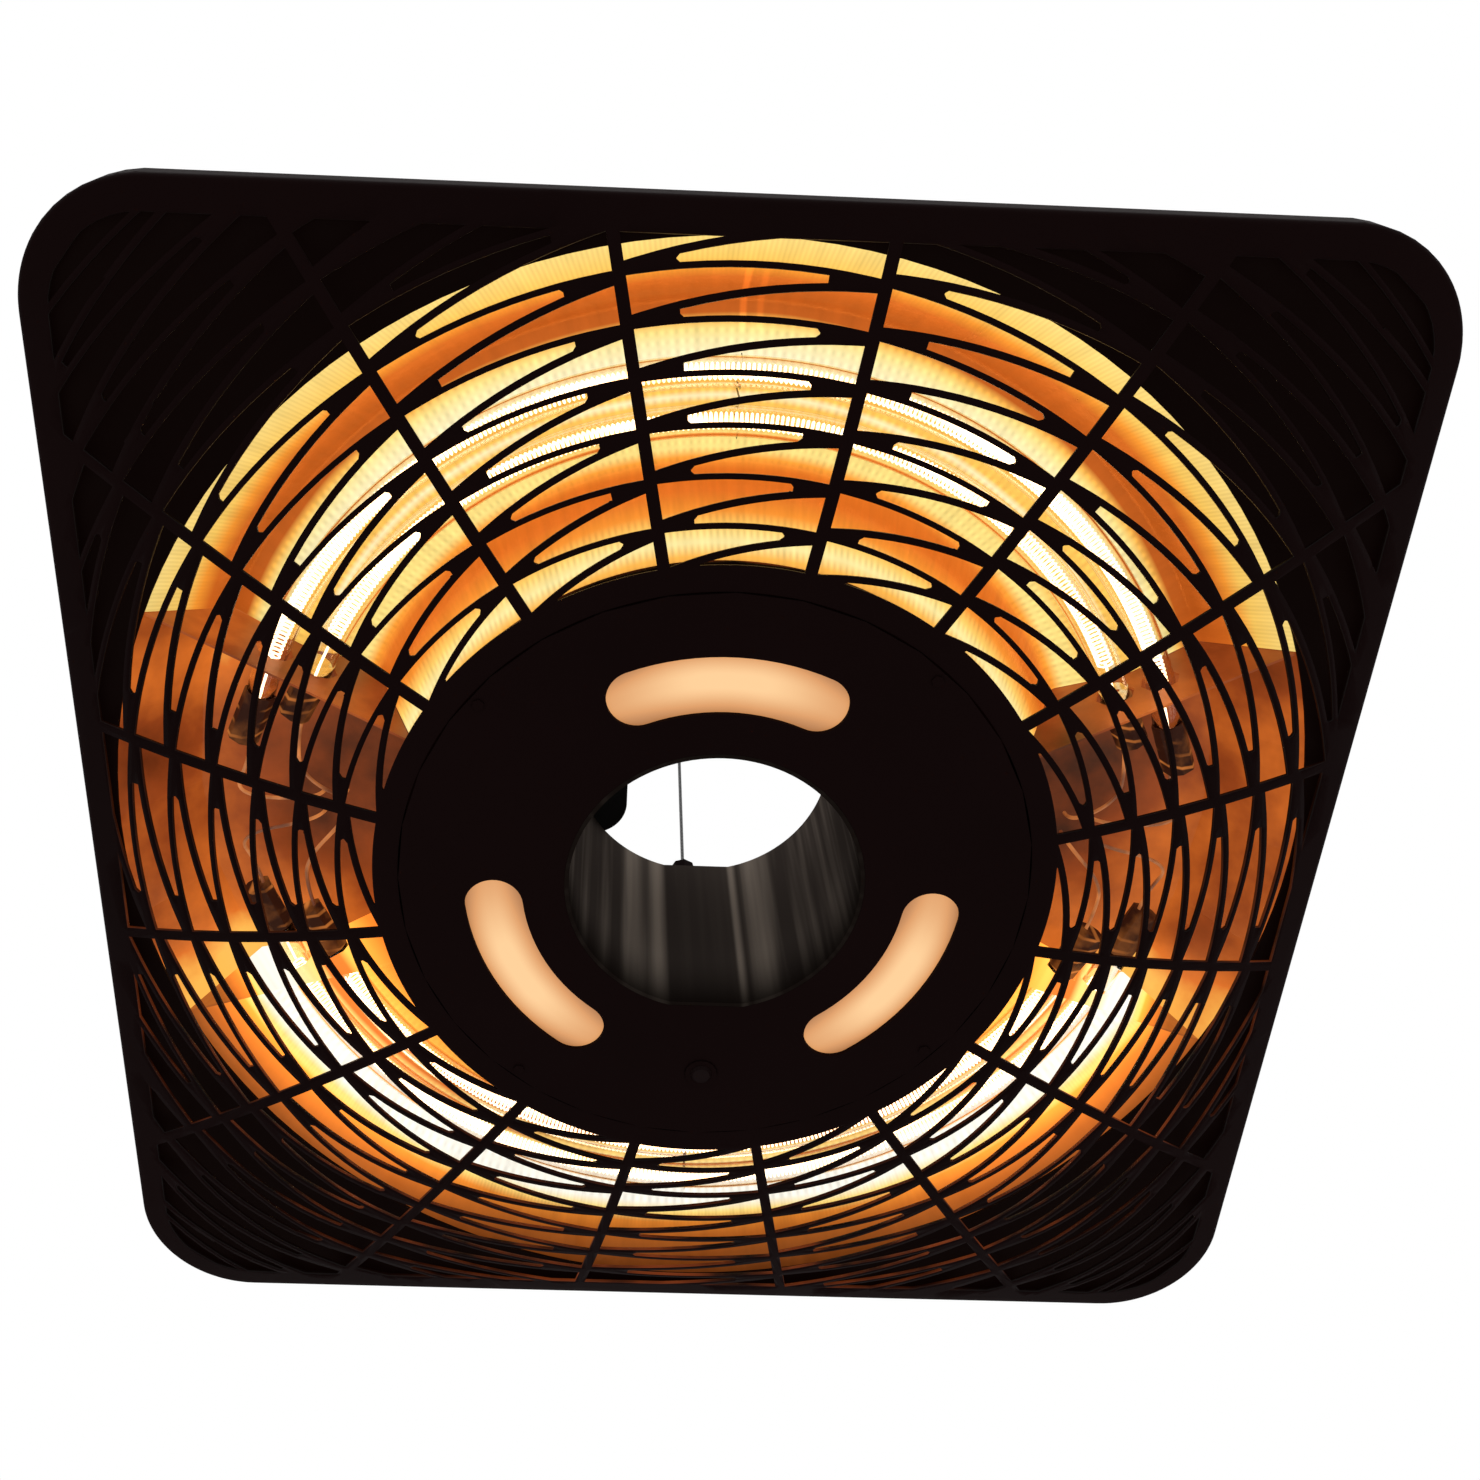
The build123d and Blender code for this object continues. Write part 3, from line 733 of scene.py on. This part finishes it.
def addSheet(piece, thickness):
    sheet = piece.modifiers.new("sheet", "SOLIDIFY")
    sheet.thickness = thickness
    sheet.offset = -1
    return sheet


def smooth(piece, angle=35):
    piece.data.shade_smooth()
    piece.data.set_sharp_from_angle(angle=radians(angle))


# Three taut wires, each from its anchor on the crown up into its grip
wireRoutes = {
    1: ((-0.004074, 0.058258, -0.252), (0.006941, -0.099261, 0.995037)),
    2: ((-0.048416, -0.032657, -0.252), (0.082492, 0.055642, 0.995037)),
    3: ((0.052490, -0.025601, -0.252), (-0.089433, 0.043620, 0.995037)),
}
wireSizes = {"length": 0.2380, "diameter": 0.0014, "points": 6}


def buildWire(number):
    start, along = (Vector(v) for v in wireRoutes[number])
    curve = bpy.data.curves.new(f"wire_{number}", "CURVE")
    curve.dimensions = "3D"
    curve.bevel_depth = wireSizes["diameter"] / 2
    curve.bevel_resolution = 4
    curve.use_fill_caps = True
    spline = curve.splines.new("NURBS")
    spline.points.add(wireSizes["points"] - 1)
    for i, point in enumerate(spline.points):
        place = start + along * wireSizes["length"] * i / (wireSizes["points"] - 1)
        point.co = (*place, 1)
    spline.order_u = 3
    spline.use_endpoint_u = True
    wire = addPiece(
        f"wire_{number}", curve, looks["wire"], replaced=[f"suspension_wire_{number}"]
    )


for number in wireRoutes:
    buildWire(number)
print("heater: suspension wires hung")


# Pressed grille. It is laid out flat, one quadrant at a time, with x counting cells and y the radius,
# cut by straight lines, then wrapped round the axis, trimmed square and raised into its dish.
grilleSizes = {
    "cells": 16,
    "columns": 12,
    "barWidth": 0.0038,
    "rowRadius": 0.1254,
    "rowPitch": 0.0145,
    "rowWidth": 0.0017,
    "rows": range(-1, 12),
    "reach": 0.295,
    "strandWidth": 0.0021,
    "strandShift": 0.0014,
    "tipAngle": 5.2,
    "barShare": 0.05,
    "hubRadius": 0.113,
    "collarRadius": 0.1052,
    "collarHeight": 0.0144,
    "slotHubRadius": 0.1136,
    "slotHalf": 0.205,
    "slotCorner": 0.031,
    "leastSlot": 60e-6,
    "half": 0.215,
    "corner": 0.041,
    "hemHeight": 0.010,
    "rimRound": 0.0016,
    "rimCuts": (0.0016, 0.0009, 0.0004, 0.0001),
    "rimBelt": 0.004,
    "tipRound": 0.0009,
    "slopes": (0.01052, 0.01628),
    "hubStep": 0.0004,
    "sheet": 0.0012,
    "merge": 1e-6,
    "seamMerge": 2e-6,  # between quadrants
    "rimSlack": 0.00005,
    "collarSlack": 0.0004,
}


def cut(bm, faces, point, normal, clear=False):
    edges = {e for f in faces for e in f.edges}
    verts = {v for f in faces for v in f.verts}
    made = bmesh.ops.bisect_plane(
        bm, geom=[*verts, *edges, *faces], dist=1e-7, plane_co=point, plane_no=normal, clear_outer=clear
    )
    return facesOf(made["geom"])


# Points and directions round the corner that the first quadrant holds, and the sides next to it
def squareTangents(half, corner, steps=12):
    centre = Vector((half - corner, half - corner, 0))
    for i in range(steps + 1):
        outward = Vector((cos(pi / 2 * i / steps), sin(pi / 2 * i / steps), 0))
        yield centre + outward * corner, outward
    yield Vector((-half, 0, 0)), Vector((-1, 0, 0))


def edgeDistance(p, half, corner):
    x, y = abs(p.x) - half + corner, abs(p.y) - half + corner
    return corner - hypot(max(x, 0), max(y, 0)) - min(max(x, y), 0)


def insideSquare(p, half, corner, slack=0.0):
    x, y = abs(p.x), abs(p.y)
    k = half - corner
    if x <= k or y <= k:
        return max(x, y) <= half + slack
    return hypot(x - k, y - k) <= corner + slack


def rimDistance(angle, half, corner):
    ca, sa = abs(cos(angle)), abs(sin(angle))
    k = half - corner
    side = half / max(ca, sa)
    if side * min(ca, sa) <= k:
        return side
    along = k * (ca + sa)
    return along + (max(along * along - 2 * k * k + corner * corner, 0)) ** 0.5


def buildGrille(size):
    step = 2 * pi / size["cells"]
    firstBar = step / 2
    cells = size["cells"] // 4
    share = size["barShare"]
    inner, outer = size["collarRadius"], size["reach"]
    rim = size["half"], size["corner"]
    bm = bmesh.new()
    bmesh.ops.create_grid(bm, x_segments=cells * size["columns"], y_segments=6, size=0.5)
    bmesh.ops.translate(bm, vec=(0.5, 0.5, 0), verts=bm.verts)
    bmesh.ops.scale(bm, vec=(cells, outer - inner, 1), verts=bm.verts)
    bmesh.ops.translate(bm, vec=(0, inner, 0), verts=bm.verts)
    for c in range(cells):
        for edge in (share, 1 - share):
            cut(bm, bm.faces[:], (c + edge, 0, 0), (1, 0, 0))
    heights = [size["slotHubRadius"], size["hubRadius"]]
    for row in size["rows"]:
        middle = size["rowRadius"] + size["rowPitch"] * row
        heights += [middle - size["rowWidth"] / 2, middle + size["rowWidth"] / 2]
    for y in heights:
        cut(bm, bm.faces[:], (0, y, 0), (0, 1, 0))

    slotOf = bm.faces.layers.int.new("slot")
    tip = size["tipAngle"] / degrees(step)
    rise = size["rowPitch"] - 2 * size["strandShift"]
    for row in size["rows"]:
        low = size["rowRadius"] + size["rowPitch"] * row
        bandLow = low + size["rowWidth"] / 2
        bandHigh = low + size["rowPitch"] - size["rowWidth"] / 2
        band = [f for f in bm.faces if bandLow < f.calc_center_bounds().y < bandHigh]
        for c in range(cells):
            faces = [f for f in band if c + share < f.calc_center_bounds().x < c + 1 - share]
            start = low + size["strandShift"]
            for offset in (-size["strandWidth"] / 2, size["strandWidth"] / 2):
                faces = cut(bm, faces, (c, start + offset, 0), (-rise, 1, 0))
            for edge in (tip, 1 - tip):
                faces = cut(bm, faces, (c + edge, 0, 0), (1, 0, 0))
            number = 2 * ((row + 1) * cells + c) + 1
            upper, lower = [], []
            for f in faces:
                m = f.calc_center_bounds()
                if m.y < size["slotHubRadius"]:
                    continue
                line = start + rise * (m.x - c)
                if m.y > line + size["strandWidth"] / 2 and m.x < c + 1 - tip:
                    f[slotOf] = number
                    upper.append(f)
                if m.y < line - size["strandWidth"] / 2 and m.x > c + tip:
                    f[slotOf] = number + 1
                    lower.append(f)
            # the blunt tips are rounded by leaving their corners in the sheet
            wide = size["tipRound"] / (step * (low + size["rowPitch"] / 2))
            tall = size["tipRound"]
            for faces, x, end in ((upper, c + 1 - tip, 1), (lower, c + tip, -1)):
                strand = start + rise * (x - c) + end * size["strandWidth"] / 2
                for y, inward in ((strand, end), (bandHigh if end > 0 else bandLow, -end)):
                    corner = Vector((x - end * wide, y, 0))
                    outward = Vector((end * tall, -inward * wide, 0))
                    faces = cut(bm, faces, corner, outward)
                    for f in faces:
                        if (f.calc_center_bounds() - corner).dot(outward) > 0:
                            f[slotOf] = 0
                    faces = [f for f in faces if f[slotOf]]

    for v in bm.verts:
        cell = min(int(v.co.x + 1e-6), cells - 1)
        u = v.co.x - cell
        radius = v.co.y
        bar = size["barWidth"] / 2 / radius
        if u < share:
            turn = bar * u / share
        elif u > 1 - share:
            turn = step - bar * (1 - u) / share
        else:
            turn = bar + (step - 2 * bar) * (u - share) / (1 - 2 * share)
        angle = firstBar + step * cell + turn
        v.co = (radius * cos(angle), radius * sin(angle), 0)

    for point, normal in squareTangents(size["slotHalf"], size["slotCorner"]):
        cut(bm, bm.faces[:], point, normal)
    for point, normal in squareTangents(*rim):
        cut(bm, bm.faces[:], point, normal, clear=True)
    for depth in size["rimCuts"]:
        for point, normal in squareTangents(size["half"] - depth, size["corner"] - depth):
            outermost = [f for f in bm.faces if edgeDistance(f.calc_center_median(), *rim) < size["rimBelt"]]
            cut(bm, outermost, point, normal)

    areas = {}
    for f in bm.faces:
        if f[slotOf] and insideSquare(f.calc_center_median(), size["slotHalf"], size["slotCorner"]):
            areas.setdefault(f[slotOf], []).append(f)
    opened = []
    for faces in areas.values():
        if sum(f.calc_area() for f in faces) > size["leastSlot"]:
            opened += faces
    bmesh.ops.delete(bm, geom=opened, context="FACES")
    bmesh.ops.remove_doubles(bm, verts=bm.verts, dist=size["merge"])

    for turn in range(3):
        copied = bmesh.ops.duplicate(bm, geom=[f for f in bm.faces if f.material_index == 0])["geom"]
        for f in facesOf(copied):
            f.material_index = 1
        bmesh.ops.rotate(bm, matrix=Matrix.Rotation(pi / 2 * (turn + 1), 3, "Z"), verts=vertsOf(copied))
    for f in bm.faces:
        f.material_index = 0
    bmesh.ops.remove_doubles(bm, verts=bm.verts, dist=size["seamMerge"])

    hubDrop = rimZ - hubZ - size["hubStep"]
    for v in bm.verts:
        radius = hypot(v.co.x, v.co.y)
        edge = rimDistance(atan2(v.co.y, v.co.x), *rim)
        t = max(0.0, (radius - size["hubRadius"]) / (edge - size["hubRadius"]))
        a, b = size["slopes"]
        deep = max(0.0, size["rimRound"] - edgeDistance(v.co, *rim))
        rounded = size["rimRound"] - max(size["rimRound"] ** 2 - deep * deep, 0) ** 0.5
        v.co.z = rimZ - hubDrop + a * t + b * t * t + rounded

    outerEdges = [
        e
        for e in bm.edges
        if e.is_boundary and all(edgeDistance(v.co, *rim) < size["rimSlack"] for v in e.verts)
    ]
    for v in vertsOf(bmesh.ops.extrude_edge_only(bm, edges=outerEdges)["geom"]):
        v.co.z = rimZ + size["hemHeight"]
    collar = size["collarRadius"] + size["collarSlack"]
    innerEdges = [
        e for e in bm.edges if e.is_boundary and all(hypot(v.co.x, v.co.y) < collar for v in e.verts)
    ]
    for v in vertsOf(bmesh.ops.extrude_edge_only(bm, edges=innerEdges)["geom"]):
        v.co.z += size["collarHeight"]
    faceOutwards(bm, lowestFace, up=False)
    grille = addPiece("pressed_grille", bm, looks["paint"], replaced=["grille"])
    addSheet(grille, size["sheet"]).material_offset_rim = 1
    grille.data.materials.append(looks["litEdge"])
    smooth(grille)


buildGrille(grilleSizes)
print("heater: grille pressed and slotted")


# Top cover: one smooth pressing from the hem over a shoulder to the flat crown round the passage
coverSizes = {
    "levels": ((0.215, 0.041, rimZ + 0.010), (0.178, 0.118, rimZ + 0.046), (0.092, 0.092, hubZ + 0.0896)),
    "passage": 0.0501,
    "flat": 0.0484,
    "turns": 128,
    "rows": 8,
    "skirtIn": 0.0014,
    "skirtDepth": 0.006,
    "sheet": 0.0012,
}


def buildCover(size):
    rows = size["rows"]
    hemHeight, crownHeight = size["levels"][0][2], size["levels"][-1][2]
    bm = bmesh.new()
    bmesh.ops.create_grid(bm, x_segments=size["turns"], y_segments=3 * rows, size=0.5)
    for v in bm.verts:
        angle = 2 * pi * (v.co.x + 0.5)
        row = 3 * rows * (v.co.y + 0.5)
        reaches = [(rimDistance(angle, half, corner), z) for half, corner, z in size["levels"]]
        reaches.append((min(size["passage"], size["flat"] / max(sin(angle), 0.01)), crownHeight))
        start = min(int(row / rows + 1e-4), len(reaches) - 2)
        share = row / rows - start
        (r0, z0), (r1, z1) = reaches[start], reaches[start + 1]
        radius = r0 + (r1 - r0) * share
        v.co = (radius * cos(angle), radius * sin(angle), z0 + (z1 - z0) * share)
    bmesh.ops.remove_doubles(bm, verts=bm.verts, dist=1e-6)
    hem = [e for e in bm.edges if e.is_boundary and e.verts[0].co.z < hemHeight + 0.001]
    for inward, down in ((size["skirtIn"], 0), (0, size["skirtDepth"])):
        made = bmesh.ops.extrude_edge_only(bm, edges=hem)["geom"]
        for v in vertsOf(made):
            v.co.xy *= 1 - inward / hypot(v.co.x, v.co.y)
            v.co.z -= down
        hem = [e for e in made if isinstance(e, bmesh.types.BMEdge) and e.is_boundary]
    faceOutwards(bm, highestFace, up=True)
    cover = addPiece("pressed_cover", bm, looks["cover"], replaced=["top_cover"])
    addSheet(cover, size["sheet"])
    smooth(cover, 50)


buildCover(coverSizes)
print("heater: cover pressed")


# Polished troughs, spun round the axis
troughSizes = {
    "profile": (
        (0.1100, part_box("reflector_near")[0].z + 0.0004),
        (0.1290, rimZ + 0.030),
        (0.1550, rimZ + 0.023),
        (0.1810, rimZ + 0.030),
        (0.2045, rimZ + 0.0012),
    ),
    "halfAngle": 67.0,
    "steps": 96,
    "round": 0.0018,
    "ridgeAngle": 0.2,
    "sheet": 0.0008,
}


# Spin the geometry, drawn in the XZ plane, over an arc about the Z axis
def spinPart(bm, geom, middle, halfAngle, steps):
    bmesh.ops.rotate(bm, matrix=Matrix.Rotation(radians(middle - halfAngle), 3, "Z"), verts=vertsOf(geom))
    bmesh.ops.spin(
        bm,
        geom=geom,
        cent=(0, 0, 0),
        axis=(0, 0, 1),
        angle=radians(2 * halfAngle),
        steps=steps,
        use_duplicate=False,
    )


def buildTrough(name, middle, material, size):
    bm = bmesh.new()
    points = [bm.verts.new((radius, 0, height)) for radius, height in size["profile"]]
    edges = [bm.edges.new(pair) for pair in zip(points, points[1:])]
    spinPart(bm, points + edges, middle, size["halfAngle"], size["steps"])
    ridges = [e for e in bm.edges if len(e.link_faces) == 2 and e.calc_face_angle(0) > size["ridgeAngle"]]
    bmesh.ops.bevel(
        bm, geom=ridges, offset=size["round"], segments=3, profile=0.5, affect="EDGES", material=-1
    )
    faceOutwards(bm, flattestFace, up=False)
    trough = addPiece(f"trough_{name}", bm, material, replaced=[f"reflector_{name}"])
    addSheet(trough, size["sheet"])
    smooth(trough, 28)


buildTrough("near", -90, looks["nearTrough"], troughSizes)
buildTrough("far", 90, looks["farTrough"], troughSizes)
print("heater: troughs spun")


# Four curved lamps: a coil of fine wire inside a quartz tube
lampSizes = {
    "height": rimZ + 0.012,
    "outer": {"radius": 0.1625, "coilHalf": 68.0},
    "inner": {"radius": 0.1470, "coilHalf": 62.5},
    "glassExtra": 5.0,
    "glassRadius": 0.005,
    "glassWall": 0.0008,
    "glassSides": 20,
    "glassSteps": 72,
    "coilRadius": 0.00245,
    "coilPitch": 0.00160,
    "chunk": 10,
    "wire": 0.00040,
    "turnSteps": 9,
    "leadWire": 0.00045,
    "leadOverlap": 0.001,
}


# Carry what is laid along X onto the arc of this radius about the Z axis
def bendRound(bm, radius, middle):
    for v in bm.verts:
        angle = radians(middle) + v.co.x / radius
        reach = radius + v.co.y
        v.co = (reach * cos(angle), reach * sin(angle), v.co.z + lampSizes["height"])


def buildLamp(half, middle, place):
    lamp = lampSizes[place]
    coilLength = 2 * radians(lamp["coilHalf"]) * lamp["radius"]
    chunk = lampSizes["chunk"]
    turns = chunk * round(coilLength / lampSizes["coilPitch"] / chunk)

    coil = bmesh.new()
    ring = bmesh.ops.create_circle(coil, segments=4, radius=lampSizes["wire"])["verts"]
    bmesh.ops.translate(coil, vec=(0, lampSizes["coilRadius"], 0), verts=ring)
    bmesh.ops.spin(
        coil,
        geom=ring + coil.edges[:],
        cent=(0, 0, 0),
        axis=(1, 0, 0),
        dvec=(lampSizes["coilPitch"] / lampSizes["turnSteps"], 0, 0),
        angle=2 * pi * chunk,
        steps=chunk * lampSizes["turnSteps"],
    )
    first = coil.verts[:] + coil.edges[:] + coil.faces[:]
    for i in range(1, turns // chunk):
        copied = bmesh.ops.duplicate(coil, geom=first)["geom"]
        bmesh.ops.translate(coil, vec=(i * chunk * lampSizes["coilPitch"], 0, 0), verts=vertsOf(copied))
    bmesh.ops.translate(coil, vec=(-coilLength / 2, 0, 0), verts=coil.verts)
    for end in (-1, 1):
        leadStart = Vector((end * (coilLength / 2 - lampSizes["leadOverlap"]), 0, 0))
        leadLength = radians(lampSizes["glassExtra"]) * lamp["radius"]
        bmesh.ops.create_cone(
            coil,
            cap_ends=True,
            segments=6,
            radius1=lampSizes["leadWire"],
            radius2=lampSizes["leadWire"],
            depth=leadLength,
            matrix=Matrix.Translation(leadStart + Vector((end * leadLength / 2, 0, 0)))
            @ Matrix.Rotation(pi / 2, 4, "Y"),
        )
    bendRound(coil, lamp["radius"], middle)
    bmesh.ops.recalc_face_normals(coil, faces=coil.faces)
    coilPiece = addPiece(
        f"coil_{half}_{place}", coil, looks["coil"], replaced=[f"filament_{half}_{place}"]
    )
    coilPiece.data.shade_smooth()

    glass = bmesh.new()
    bmesh.ops.create_circle(
        glass,
        segments=lampSizes["glassSides"],
        radius=lampSizes["glassRadius"],
        matrix=Matrix.Translation((lamp["radius"], 0, lampSizes["height"])) @ Matrix.Rotation(pi / 2, 4, "X"),
    )
    glassHalf = lamp["coilHalf"] + lampSizes["glassExtra"]
    spinPart(glass, glass.verts[:] + glass.edges[:], middle, glassHalf, lampSizes["glassSteps"])
    faceOutwards(glass, highestFace, up=True)
    glassPiece = addPiece(
        f"tube_{half}_{place}", glass, looks["quartz"], replaced=[f"quartz_{half}_{place}"]
    )
    addSheet(glassPiece, lampSizes["glassWall"])
    smooth(glassPiece, 60)


for half, middle in (("near", -90), ("far", 90)):
    for place in ("outer", "inner"):
        buildLamp(half, middle, place)
print("heater: lamps wound")


# Wire clips at the middle of each half: a ring round each tube on a stem from the trough's ridge
clipSizes = {
    "wire": 0.00032,
    "ring": 0.0054,
    "top": rimZ + 0.0236,
    "stems": (  # radius and foot: two on the rings, one between the tubes
        (0.1620, lampSizes["height"] + 0.0054),
        (0.1545, lampSizes["height"]),
        (0.1465, lampSizes["height"] + 0.0054),
    ),
}


def buildClip(half, middle):
    bm = bmesh.new()
    for place in ("outer", "inner"):
        ring = bmesh.ops.create_circle(bm, segments=6, radius=clipSizes["wire"])["verts"]
        bmesh.ops.translate(bm, vec=(clipSizes["ring"], 0, 0), verts=ring)
        edges = list({e for v in ring for e in v.link_edges})
        bmesh.ops.rotate(bm, matrix=Matrix.Rotation(pi / 2, 3, "X"), verts=ring)
        before = set(bm.verts) - set(ring)
        bmesh.ops.spin(
            bm,
            geom=ring + edges,
            cent=(0, 0, 0),
            axis=(0, 1, 0),
            angle=2 * pi,
            steps=20,
            use_merge=True,
        )
        loop = [v for v in bm.verts if v not in before]
        bmesh.ops.translate(bm, vec=(lampSizes[place]["radius"], 0, lampSizes["height"]), verts=loop)
    for radius, low in clipSizes["stems"]:
        bmesh.ops.create_cone(
            bm,
            cap_ends=True,
            segments=6,
            radius1=clipSizes["wire"],
            radius2=clipSizes["wire"],
            depth=clipSizes["top"] - low,
            matrix=Matrix.Translation((radius, 0, (clipSizes["top"] + low) / 2)),
        )
    bmesh.ops.rotate(bm, matrix=Matrix.Rotation(radians(middle), 3, "Z"), verts=bm.verts)
    bmesh.ops.recalc_face_normals(bm, faces=bm.faces)
    clip = addPiece(f"clip_{half}", bm, looks["lampWire"], replaced=[f"lamp_clip_{half}"])
    smooth(clip)


buildClip("near", -90)
buildClip("far", 90)


# Leads in the end bays, from each lamp end to the place where they rise into the cover
leadSizes = {
    "radius": 0.0007,
    "ends": {"outer": 79.6, "inner": 74.8},  # degrees from the middle of the half
    "spread": {"outer": 0.004, "inner": -0.004},
    "straight": 0.008,
    "bow": 0.022,
    "sag": 0.002,
    "meet": 0.134,
    "meetSide": 0.004,
    "meetHeight": rimZ + 0.024,
}


def buildLead(half, middle, place, side):
    size = leadSizes
    radius = lampSizes[place]["radius"]
    angle = radians(middle + side * size["ends"][place])
    start = Vector((radius * cos(angle), radius * sin(angle), lampSizes["height"]))
    along = Vector((-sin(angle), cos(angle), 0)) * side
    bay = 1 if start.x > 0 else -1
    towards = 1 if start.y > 0 else -1
    spread = size["spread"][place]
    meet = Vector((bay * (size["meet"] + spread), size["meetSide"] * towards, size["meetHeight"]))
    bow = start + along * size["bow"] + Vector((bay * spread, 0, -size["sag"]))
    curve = bpy.data.curves.new("lead path", "CURVE")
    curve.dimensions = "3D"
    curve.bevel_depth = size["radius"]
    curve.bevel_resolution = 1
    curve.resolution_u = 8
    spline = curve.splines.new("NURBS")
    spline.points.add(4)
    points = (start, start + along * size["straight"], bow, meet + Vector((0, 0, -size["straight"])), meet)
    for point, at in zip(spline.points, points):
        point.co = (*at, 1)
    spline.order_u = 3
    spline.use_endpoint_u = True
    path = bpy.data.objects.new("lead path", curve)
    lead = bpy.data.meshes.new_from_object(path)
    bpy.data.objects.remove(path)
    bayName = "left" if bay < 0 else "right"
    piece = addPiece(f"lead_{half}_{place}_{bayName}", lead, looks["lead"])
    smooth(piece, 60)


for half, middle in (("near", -90), ("far", 90)):
    for place in ("outer", "inner"):
        for side in (-1, 1):
            buildLead(half, middle, place, side)
print("heater: leads laid")


# Studio: pale floor far below, white surround, soft lamps
studio = {
    "floor": -1.30,
    "floorSize": 40,
    "lift": 0.30,
    "air": 0.55,
    "lamps": {  # place, power and width
        "key": ((-1.4, -1.6, 1.0), 9.0, 1.6),
        "fill": ((1.6, -0.6, 0.6), 5.0, 1.8),
    },
}


# 1 for rays that show the surroundings: the camera's own, and those off metal and through glass
def shownRays(tree):
    path = tree.nodes.new("ShaderNodeLightPath")
    camera, glossy, through = (
        Value(tree, path.outputs[name]) for name in ("Is Camera Ray", "Is Glossy Ray", "Is Transmission Ray")
    )
    return camera.math("MINIMUM", camera + glossy + through, 1.0)


def buildStudio():
    floorMesh = bmesh.new()
    bmesh.ops.create_grid(floorMesh, x_segments=2, y_segments=2, size=studio["floorSize"])
    bmesh.ops.translate(floorMesh, vec=(0, 0, studio["floor"]), verts=floorMesh.verts)
    data = bpy.data.meshes.new("floor")
    floorMesh.to_mesh(data)
    floorMesh.free()
    floor = bpy.data.objects.new("floor", data)
    bpy.context.collection.objects.link(floor)
    material, shader, place = startMaterial(
        "pale floor", Roughness=0.9, Specular_IOR_Level=0.1, Emission_Strength=1.0
    )
    link(noise(place, 3, 3).blend(grey(0.80), grey(0.84)), shader, "Base Color")
    link(shownRays(place.tree).blend(grey(0), grey(studio["lift"])), shader, "Emission Color")
    data.materials.append(material)

    world = bpy.data.worlds.new("surround")
    world.use_nodes = True
    bpy.context.scene.world = world
    tree = world.node_tree
    light = tree.nodes["Background"]
    light.inputs["Color"].default_value = grey(1)
    strength = studio["air"] + (1 - studio["air"]) * shownRays(tree)
    tree.links.new(strength.socket, light.inputs["Strength"])

    for name, (place, power, width) in studio["lamps"].items():
        lampData = bpy.data.lights.new(name, "AREA")
        lampData.energy = power
        lampData.size = width
        lamp = bpy.data.objects.new(name, lampData)
        lamp.location = place
        lamp.rotation_euler = (Vector((0, 0, rimZ)) - Vector(place)).to_track_quat("-Z", "Y").to_euler()
        bpy.context.collection.objects.link(lamp)


buildStudio()
bpy.context.scene.view_settings.view_transform = "Standard"
print("heater: studio lit")
